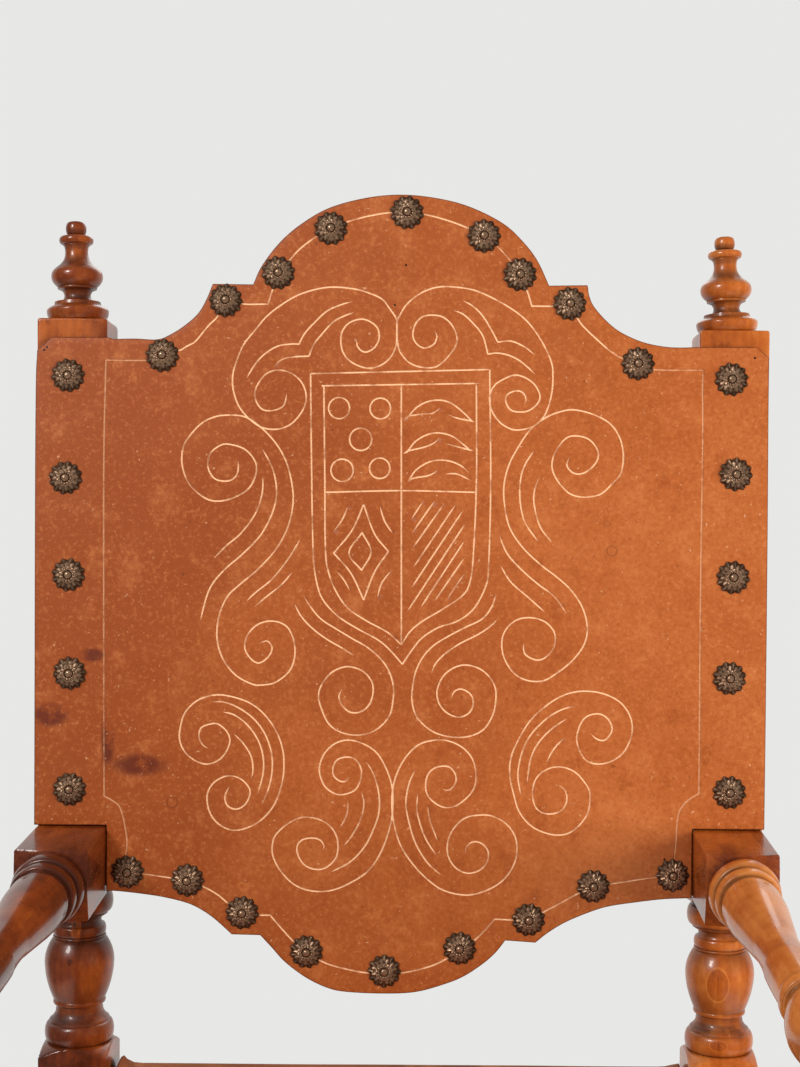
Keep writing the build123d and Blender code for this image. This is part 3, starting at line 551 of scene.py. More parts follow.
def along_line(foot, axis, sideways, third):
    """Where a straight stick's axis is at a distance from its foot, and the two ways across it."""
    return lambda distance: (foot + axis * distance, sideways, third)


for name, side in sides.items():
    seat = post_place(side)(rail_top + post_rises[name])[0] - across * finial_slips[name]
    rows = turned_rows(finial_shares, 0, finial_heights[name], half_stock)
    lean = finial_leans[name]
    axis = up_rake * cos(lean) + across * sin(lean)
    sideways = across * cos(lean) - up_rake * sin(lean)
    place = along_line(seat, axis, sideways, -front_normal)
    finial = lathe_piece(f"turned_finial_{name}", rows, place, half_stock * 1.6)
    dress_in_wood(finial, f"finial_{name}", f"finial_wood_{name}", "z", finial_tone_and_light[name])

# Front legs
# Turned like the rear posts from the same stock, with a round tenon up into each arm. They
# stand below the photographed part and follow the rear posts' pattern.
for name, side in sides.items():
    place = along_line(Vector((side * leg_x, front_y, 0)), Vector((0, 0, 1)), across, Vector((0, 1, 0)))
    rows = lower_leg_rows(half_stock, block_top, block_top + support_length)
    leg = lathe_piece(f"turned_front_leg_{name}", rows, place, half_stock)
    dress_in_wood(leg, f"front_leg_{name}", f"leg_wood_{name}", "z")

# Arms
# A square block tenoned into the post, a long turned stretch with a ring in its waist, a block
# over the front leg, and a turned knob. The left one is dark, partly painted shade, and the right
# one is pale, partly worn and partly painted light.
rear_block = 74 * mm
arm_shoulder_share = 0.16
# Partly the wood's own tone and partly painted light: the left arm is painted dark for the shade it lay in,
# the right one pale where it was lit and worn.
arm_tone_and_light = {"left": 0.14, "right": 0.98}
arm_block_tones = {"left": 0.06, "right": -0.60}  # what the block beside the post adds
knob_length = 35 * mm
arm_shares = (
    (1, 0.78, None, 0.84), (15, 0.88, 0.985, 0.88), (1.5, 0.82, None, 0.81), (12, 0.83, 0.90, 0.83),
    (2, 0.77, None, 0.76), (12, 0.75, 0.80, 0.80), (30, 0.80, 0.80, 0.76), (52, 0.76, 0.66, 0.565),
    (40, 0.565, 0.56, 0.61), (50, 0.61, 0.625, 0.61), (2, 0.62, 0.63, 0.63), (11, 0.64, 0.68, 0.64),
    (2, 0.63, 0.62, 0.60), (6, 0.56, 0.54, 0.56), (34, 0.58, 0.78, 0.85), (26, 0.86, 0.82, 0.72),
    (2, 0.74, None, 0.76), (6, 0.64, 0.61, 0.64), (11, 0.80, 0.87, 0.80), (1.5, 0.78, None, 0.79),
    (13, 0.84, 0.935, 0.84), (3, 0.80, None, 0.74),
)
knob_shares = (
    (1.0, 0.70, None, 0.62), (5.0, 0.60, 0.56, 0.60), (1.0, 0.70, None, 0.80), (4.0, 0.82, 0.87, 0.82),
    (1.0, 0.76, None, 0.66), (3.0, 0.62, 0.60, 0.62), (10.0, 0.70, 0.90, 0.94), (10.0, 0.94, 0.80, 0.30),
    (0.5, 0.28, None, 0.10),
)
post_front_y = rear_y - half_stock / cos(back_rake) + (arm_axis - rail_top) * tan(back_rake)
arm_turning = post_front_y - rear_block - (front_y + half_stock)
for name, side in sides.items():
    knob_start = rear_block + arm_turning + 2 * half_stock
    rows = [(0, half_stock * shoulder_reach_share)]
    rows += shoulder_to(rear_block, half_stock, arm_shoulder_share)
    rows += turned_rows(arm_shares, rear_block, arm_turning, half_stock)
    rows += shoulder_rows(rear_block + arm_turning, 1, half_stock)
    rows += shoulder_to(knob_start, half_stock)
    rows += turned_rows(knob_shares, knob_start, knob_length, half_stock)
    arm = lathe_piece(
        f"turned_arm_{name}", rows,
        lambda distance, side=side: (
            Vector((side * leg_x, post_front_y - distance, arm_axis)), across, Vector((0, 0, 1))
        ),
        half_stock, rear_plane=arm_axis,
    )
    block_fade = ("Y", post_front_y - rear_block - 14 * mm, post_front_y - rear_block, arm_block_tones[name])
    dress_in_wood(arm, f"arm_{name}", f"arm_wood_{name}", "y", arm_tone_and_light[name], block_fade)

# Stretchers
# Turned from lighter stock, square at the ends and in the middle, with round tenons. The end
# pair stands higher in the legs than the side pair, so that the tenons miss each other.
stretcher_shares = (
    (1, 0.84, None, 0.90), (7, 0.90, 0.94, 0.90), (4, 0.68, 0.64, 0.68), (34, 0.72, 0.86, 0.90),
    (56, 0.90, 0.80, 0.56), (6, 0.62, 0.76, 0.62), (4, 0.58, 0.56, 0.58), (8, 0.84, 0.92, 0.84),
)
mirrored_stretcher_shares = tuple((row[0], row[3], row[2], row[1]) for row in reversed(stretcher_shares))
stretcher_end = 34 * mm
stretcher_middle = 44 * mm
stretcher_tenon = 28 * mm
stretcher_sunk = stretcher_tenon * 0.02  # each end presses this far into its leg
for name in ("front", "back", "left", "right"):
    low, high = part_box(f"stretcher_{name}")
    span = high - low
    lengthwise = Vector((1, 0, 0)) if span.x > span.y else Vector((0, 1, 0))
    stick_half = span.z / 2
    clear = max(span.x, span.y) - 2 * stretcher_tenon
    start = (low + high) / 2 - lengthwise * clear / 2
    turned = (clear - 2 * stretcher_end - stretcher_middle) / 2
    second = stretcher_end + turned + stretcher_middle
    rows = [(-stretcher_sunk, stick_half * shoulder_reach_share)]
    rows += shoulder_to(stretcher_end, stick_half)
    rows += turned_rows(stretcher_shares, stretcher_end, turned, stick_half)
    rows += shoulder_rows(stretcher_end + turned, 1, stick_half)
    rows += shoulder_to(second, stick_half)
    rows += turned_rows(mirrored_stretcher_shares, second, turned, stick_half)
    rows += shoulder_rows(second + turned, 1, stick_half)
    rows += [(clear + stretcher_sunk, stick_half * shoulder_reach_share)]
    sideways = Vector((0, 0, 1)).cross(lengthwise)
    place = along_line(start, lengthwise, sideways, Vector((0, 0, 1)))
    stretcher = lathe_piece(f"turned_stretcher_{name}", rows, place, stick_half)
    dress_in_wood(stretcher, f"stretcher_{name}", f"stretcher_wood_{name}", "x" if lengthwise.x else "y")

# Seat rails, cross rails and pegs
# Plain planed rails, tenoned into the blocks and locked by pegs. Their edges were eased with a
# plane, and the pegs stand a little proud of the wood.
rail_ease = 1.6 * mm
peg_ease = 0.5 * mm
keen_angle = radians(40)
rail_crease = radians(30)


def eased_copy(node, width):
    """A copy of a plain node with its flat faces merged and its edges eased."""
    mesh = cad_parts[node].data.copy()
    mesh.name = f"eased_{node}"
    mesh.materials.clear()
    shape = bmesh.new()
    shape.from_mesh(mesh)
    bmesh.ops.remove_doubles(shape, verts=shape.verts, dist=2 * weld_reach)
    bmesh.ops.dissolve_limit(
        shape, angle_limit=radians(1), verts=shape.verts, edges=shape.edges, delimit={"NORMAL"}
    )
    keen = [edge for edge in shape.edges if edge.is_manifold and edge.calc_face_angle() > keen_angle]
    bmesh.ops.bevel(
        shape, geom=keen, offset=width, segments=3, profile=0.5, affect="EDGES", clamp_overlap=True
    )
    bmesh.ops.triangulate(shape, faces=shape.faces)
    shape.to_mesh(mesh)
    shape.free()
    return finish_mesh(f"eased_{node}", mesh, rail_crease)


rail_nodes = {
    "seat_rail_front": "x", "seat_rail_back": "x", "seat_rail_left": "y", "seat_rail_right": "y",
    "back_rail_top": "x", "back_rail_bottom": "x",
}
for node, axis in rail_nodes.items():
    rail = eased_copy(node, rail_ease)
    dress_in_wood(rail, node, f"{node}_wood", axis)
pegs = eased_copy("joint_pegs", peg_ease)
dress(pegs, "joint_pegs", varnished_wood("peg_wood", "x"))

# Back lining
# A thin plain hide behind the tooled one, cut to the same outline a little smaller, flesh side
# to the rear. The same nails hold both to the posts and cross rails.
photo_scale = 0.8 * mm  # of the hide's face, for each pixel of the photograph
photo_width, photo_height = 800, 1067
focal_pixels = 1625
principal_x, principal_y = 443.5, 568.5  # the pixel in line with the lens
camera_distance = 1307 * mm  # from the posts' front faces
camera_across = 34 * mm  # the camera stood a little to the right
camera_up = 235.5 * mm
camera_pitch = radians(1.2)  # it looked a little less steeply down than the hide faces
camera_roll = 0.0071
lining_thick = 2.5 * mm
hide_thick = 4.5 * mm
lining_inset = 1.5 * mm
notch_half = leg_x - half_stock - notch_clear
# The hide's edge, in pixels of the photograph: a run of two points is straight, and a longer
# one is a smooth curve. First from the left arm up and over to the right arm, then below them.
edge_above = (
    ((33.7, 828), (34.3, 620), (35.2, 400), (36.8, 350)),
    ((36.8, 350), (51.6, 336.7)),
    ((51.6, 336.7), (108, 337.2)),
    ((108, 337.2), (113, 338.8)),
    (
        (113, 338.8), (135, 338.4), (157, 339.2), (170, 334.3), (184, 325.5), (197.6, 313.5), (206, 299.5),
        (212.6, 283.6),
    ),
    ((212.6, 283.6), (253, 284.2)),
    (
        (253, 284.2), (261.5, 265.8), (279, 242.8), (300, 224.4), (328, 208), (363, 198), (398, 194.3),
        (433, 197.1), (468, 205.6), (503, 222.9), (524, 242.2), (538, 261.1), (549.2, 285.4),
    ),
    ((549.2, 285.4), (587.6, 285)),
    (
        (587.6, 285), (589.8, 297), (595, 307.6), (608, 322.1), (622, 332.7), (643, 341.9), (664, 346.4),
        (680, 347.4), (697, 347),
    ),
    ((697, 347), (757.6, 347)),
    ((757.6, 347), (769.3, 357.8)),
    ((769.3, 357.8), (768.9, 400), (767.3, 600), (764.6, 828)),
)
edge_below = (
    (
        (691, 898.6), (664, 899.6), (635, 902.9), (607, 907.2), (586, 914), (565, 922.9), (549, 932.5),
        (535.4, 943),
    ),
    ((535.4, 943), (505.3, 940.8)),
    (
        (505.3, 940.8), (496.5, 952), (484.6, 962.9), (465.4, 975.8), (446, 984), (416, 992.3), (384, 994),
        (346, 992.3), (327, 988.3), (306, 978.2), (285, 962.6), (271, 947.3), (260, 935.5),
    ),
    ((260, 935.5), (231.5, 934.7)),
    (
        (231.5, 934.7), (215, 919.8), (201, 910), (187, 903.4), (166, 898), (145, 894.6), (117, 891.4),
        (104, 891.2),
    ),
)
lining_slip = 1.9 * mm  # the lining sits a little to the right
outline_step = 3 * mm
straight_steps, curve_steps = 40, 24  # of a straight run, and between two points of a curve
sheet_crease = radians(50)
row_share = 0.866  # the rows of a grid of even triangles stand closer than its columns
face_foot = Vector((0, rear_y, rail_top)) + front_normal * half_stock
face_foot += up_rake * ((arm_top + notch_clear - face_foot.z) / up_rake.z)


def on_back(x, s, depth):
    """A place across, up and out from the foot of the posts' leaning front faces."""
    return face_foot + across * x + up_rake * s + front_normal * depth


toward = front_normal * cos(camera_pitch) + up_rake * sin(camera_pitch)
upright = up_rake * cos(camera_pitch) - front_normal * sin(camera_pitch)
right = across * cos(camera_roll) + upright * sin(camera_roll)
up = upright * cos(camera_roll) - across * sin(camera_roll)
stand = face_foot + across * camera_across + up_rake * camera_up + front_normal * camera_distance


def from_photo(x, y):
    """Across and up on the hide's face, from a pixel of the photograph."""
    ray = right * (x - principal_x) + up * (principal_y - y) - toward * focal_pixels
    run = (lining_thick + hide_thick - camera_distance) / ray.dot(front_normal)
    place = stand + ray * run - face_foot
    return place.dot(across), place.dot(up_rake)


def smooth_line(points, step):
    """A smooth curve through points, as points a step apart."""
    if len(points) == 2:
        ends = Vector(points[0]), Vector(points[1])
        dense = [ends[0].lerp(ends[1], i / straight_steps) for i in range(straight_steps + 1)]
    else:
        given = [Vector(p) for p in points]
        given = [given[0] * 2 - given[1]] + given + [given[-1] * 2 - given[-2]]
        dense = []
        for a, b, c, d in zip(given, given[1:], given[2:], given[3:]):
            for i in range(curve_steps):
                t = i / curve_steps
                dense.append(
                    (b * 2 + (c - a) * t + (a * 2 - b * 5 + c * 4 - d) * t * t
                     + (b * 3 - a - c * 3 + d) * t * t * t) / 2
                )
        dense.append(given[-2])
    dense = np.array([(p.x, p.y) for p in dense])
    run = np.concatenate([[0], np.cumsum(np.hypot(*np.diff(dense, axis=0).T))])
    at = np.linspace(0, run[-1], max(2, round(run[-1] / step) + 1))
    return np.stack([np.interp(at, run, dense[:, 0]), np.interp(at, run, dense[:, 1])], 1)


def edge_points(runs):
    """Points along the hide's edge, with the last run's end."""
    points = []
    for run in runs:
        points += [tuple(p) for p in smooth_line([from_photo(*p) for p in run], outline_step)[:-1]]
    return points + [from_photo(*runs[-1][-1])]


def back_outline():
    """The scalloped outline, clockwise from the left arm's notch."""
    above, below = edge_points(edge_above), edge_points(edge_below)
    above[0], above[-1] = (above[0][0], 0), (above[-1][0], 0)
    below[0], below[-1] = (notch_half, below[0][1]), (-notch_half, below[-1][1])
    corners = ((below[-1], (-notch_half, 0), above[0]), (above[-1], (notch_half, 0), below[0]))
    points = []
    for corner, run in zip(corners, (above, below)):
        for start, end in zip(corner, corner[1:]):
            points += [tuple(p) for p in smooth_line([start, end], outline_step)[:-1]]
        points += run[:-1]
    return points


def inset_ring(points, inset):
    """A closed ring of points moved inwards, by the average of the two sides' normals."""
    ring = np.array(points)
    ahead, behind = np.roll(ring, -1, 0) - ring, ring - np.roll(ring, 1, 0)
    ahead /= np.linalg.norm(ahead, axis=1, keepdims=True)
    behind /= np.linalg.norm(behind, axis=1, keepdims=True)
    across_edge = ahead + behind
    across_edge /= np.maximum(np.linalg.norm(across_edge, axis=1, keepdims=True), 0.2)
    return ring + np.stack([across_edge[:, 1], -across_edge[:, 0]], 1) * inset


def grid_inside(ring, spacing, clear):
    """A slightly staggered grid of points inside a closed ring, clear of its edge."""
    ring = np.asarray(ring)
    low, high = ring.min(0), ring.max(0)
    columns = np.arange(low[0] + spacing / 2, high[0], spacing)
    rows = np.arange(low[1] + spacing / 2, high[1], spacing * row_share)
    grid = np.array([(x + spacing / 2 * (j % 2), y) for j, y in enumerate(rows) for x in columns])
    inside = np.zeros(len(grid), bool)
    for (x0, y0), (x1, y1) in zip(ring, np.roll(ring, -1, 0)):
        if y0 != y1:
            crossing = (grid[:, 1] >= min(y0, y1)) & (grid[:, 1] < max(y0, y1))
            inside ^= crossing & (grid[:, 0] < x0 + (grid[:, 1] - y0) * (x1 - x0) / (y1 - y0))
    edge = point_tree(ring)
    keep = [clear < edge.find((x, y, 0))[2] for x, y in grid[inside]]
    return grid[inside][keep]


def point_tree(points):
    """A search tree of flat points."""
    tree = kdtree.KDTree(len(points))
    for i, (x, y) in enumerate(points):
        tree.insert((x, y, 0), i)
    tree.balance()
    return tree


def sheet_piece(name, outline, place, low, high, spacing, rounding, lines=(), line_depth=None, wave=None):
    """A closed sheet of leather between two depths, with eased edges. lines are rows of points
    that the mesh follows, line_depth gives how deep each place is cut and how much of the cut
    shows, and wave gives how far it lies out of flat. Attributes: cut, edge, x_across, s_up."""
    front = inset_ring(outline, rounding)
    points = [tuple(p) for p in front]
    edges = [(i, (i + 1) % len(points)) for i in range(len(points))]
    line_points = []
    for line in lines:
        start = len(points)
        points += [tuple(p) for p in line]
        line_points += list(line)
        edges += [(start + i, start + i + 1) for i in range(len(line) - 1)]
    grid = grid_inside(front, spacing, spacing * 0.55)
    if line_points:
        near = point_tree(line_points)
        grid = [p for p in grid if near.find((p[0], p[1], 0))[2] > spacing * 0.35]
    points += [tuple(p) for p in grid]
    face = delaunay_2d_cdt([Vector(p) for p in points], edges, [], 1, 1e-7)
    flat, triangles, sources = face[0], face[2], face[3]
    of_source = {source: i for i, made in enumerate(sources) for source in made}
    vertices, marks = [], []

    def add_vertex(x, s, depth, cut_here, edge_here):
        vertices.append(tuple(place(x, s, depth)))
        marks.append((cut_here, edge_here, x, s))
        return len(vertices) - 1

    def wave_at(x, s):
        return wave(x, s) if wave else 0

    for p in flat:
        sunk, shown = line_depth(p.x, p.y) if line_depth else (0, 0)
        add_vertex(p.x, p.y, high - sunk + wave_at(p.x, p.y), shown, 0)
    faces = [tuple(t) for t in triangles]
    rings = [[of_source[i] for i in range(len(front))]]
    turns = (pi / 6, pi / 3, pi / 2)
    profile = [(rounding * (1 - sin(a)), high - rounding * (1 - cos(a)), 1) for a in turns]
    rear_inset = rounding * 0.3
    profile += [(rear_inset, low, 1)]
    for inset, depth, mark in profile:
        ring = inset_ring(outline, inset)
        share = (depth - low) / (high - low)
        rings.append([add_vertex(x, s, depth + wave_at(x, s) * share, 0, mark) for x, s in ring])
    for first, second in zip(rings, rings[1:]):
        for i in range(len(first)):
            j = (i + 1) % len(first)
            faces.append((first[i], first[j], second[j], second[i]))
    back = inset_ring(outline, rear_inset)
    inner = grid_inside(back, spacing * 4, spacing * 2)
    back_points = [Vector(p) for p in back] + [Vector(p) for p in inner]
    rear = delaunay_2d_cdt(back_points, [(i, (i + 1) % len(back)) for i in range(len(back))], [], 1, 1e-7)
    rear_source = {source: i for i, made in enumerate(rear[3]) for source in made}
    rear_vertex = {rear_source[i]: rings[-1][i] for i in range(len(back))}
    for i, p in enumerate(rear[0]):
        if i not in rear_vertex:
            rear_vertex[i] = add_vertex(p.x, p.y, low, 0, 0)
    faces += [tuple(rear_vertex[i] for i in reversed(t)) for t in rear[2]]
    mesh = bpy.data.meshes.new(name)
    mesh.from_pydata(vertices, [], faces)
    for label, values in zip(("cut", "edge", "x_across", "s_up"), zip(*marks)):
        mark_points(mesh, label, values)
    return finish_mesh(name, mesh, sheet_crease)


def leather_grain():
    """The fine grain, larger mottling and specks of vegetable-tanned hide."""
    group, given = shader_group("leather_grain", [("Vector", "NodeSocketVector")])
    vector = given["Vector"]
    cells = put(group, "ShaderNodeTexVoronoi", {"Vector": vector, "Scale": 900.0}, feature="SMOOTH_F1")
    pebble = times(cells.outputs["Distance"], 0.5)
    height = plus(pebble, cloud(vector, 260.0, 5.0, 0.7))
    mottle = cloud(vector, 38.0, 8.0, 0.72)
    clouds = cloud(vector, 5.0, 5.0, 0.6)
    pale = between(cloud(vector, 330.0, 2.0, 0.5), 0.69, 0.77)
    dark = between(cloud(stretched(vector, location=(3, 1, 2)), 210.0, 2.0, 0.5), 0.70, 0.80)
    outputs = {"Height": height, "Mottle": mottle, "Clouds": clouds, "Pale Specks": pale, "Dark Specks": dark}
    return end_group(group, outputs)


grain_group = leather_grain()


def plain_leather(name, deep, mid, pale):
    """Undyed flesh side or plain hide: soft, mottled and dull."""
    material, tree, shader, here = new_material(name)
    grain = grouped(grain_group, Vector=here)
    edge = mark_on(tree, "edge")
    ground = blended(between(grain["Clouds"], 0.35, 0.65), deep, mid)
    mottled = blended(between(grain["Mottle"], 0.45, 0.75), ground, pale)
    specked = blended(times(grain["Dark Specks"], 0.5), mottled, deep)
    worn = blended(times(edge, 0.6), specked, deep)
    finish_material(tree, shader, worn, ranged(grain["Mottle"], 0.75, 0.95), grain["Height"], 0.35, 0.0008)
    return material


outline = back_outline()
lining_outline = inset_ring(outline, lining_inset) + np.array([lining_slip, 0])
lining = sheet_piece("shaped_back_lining", lining_outline, on_back, 0, lining_thick, 9 * mm, 0.6 * mm)
flesh_finish = plain_leather("flesh_side", (0.10, 0.050, 0.027), (0.23, 0.125, 0.068), (0.36, 0.22, 0.13))
dress(lining, "back_lining", flesh_finish)

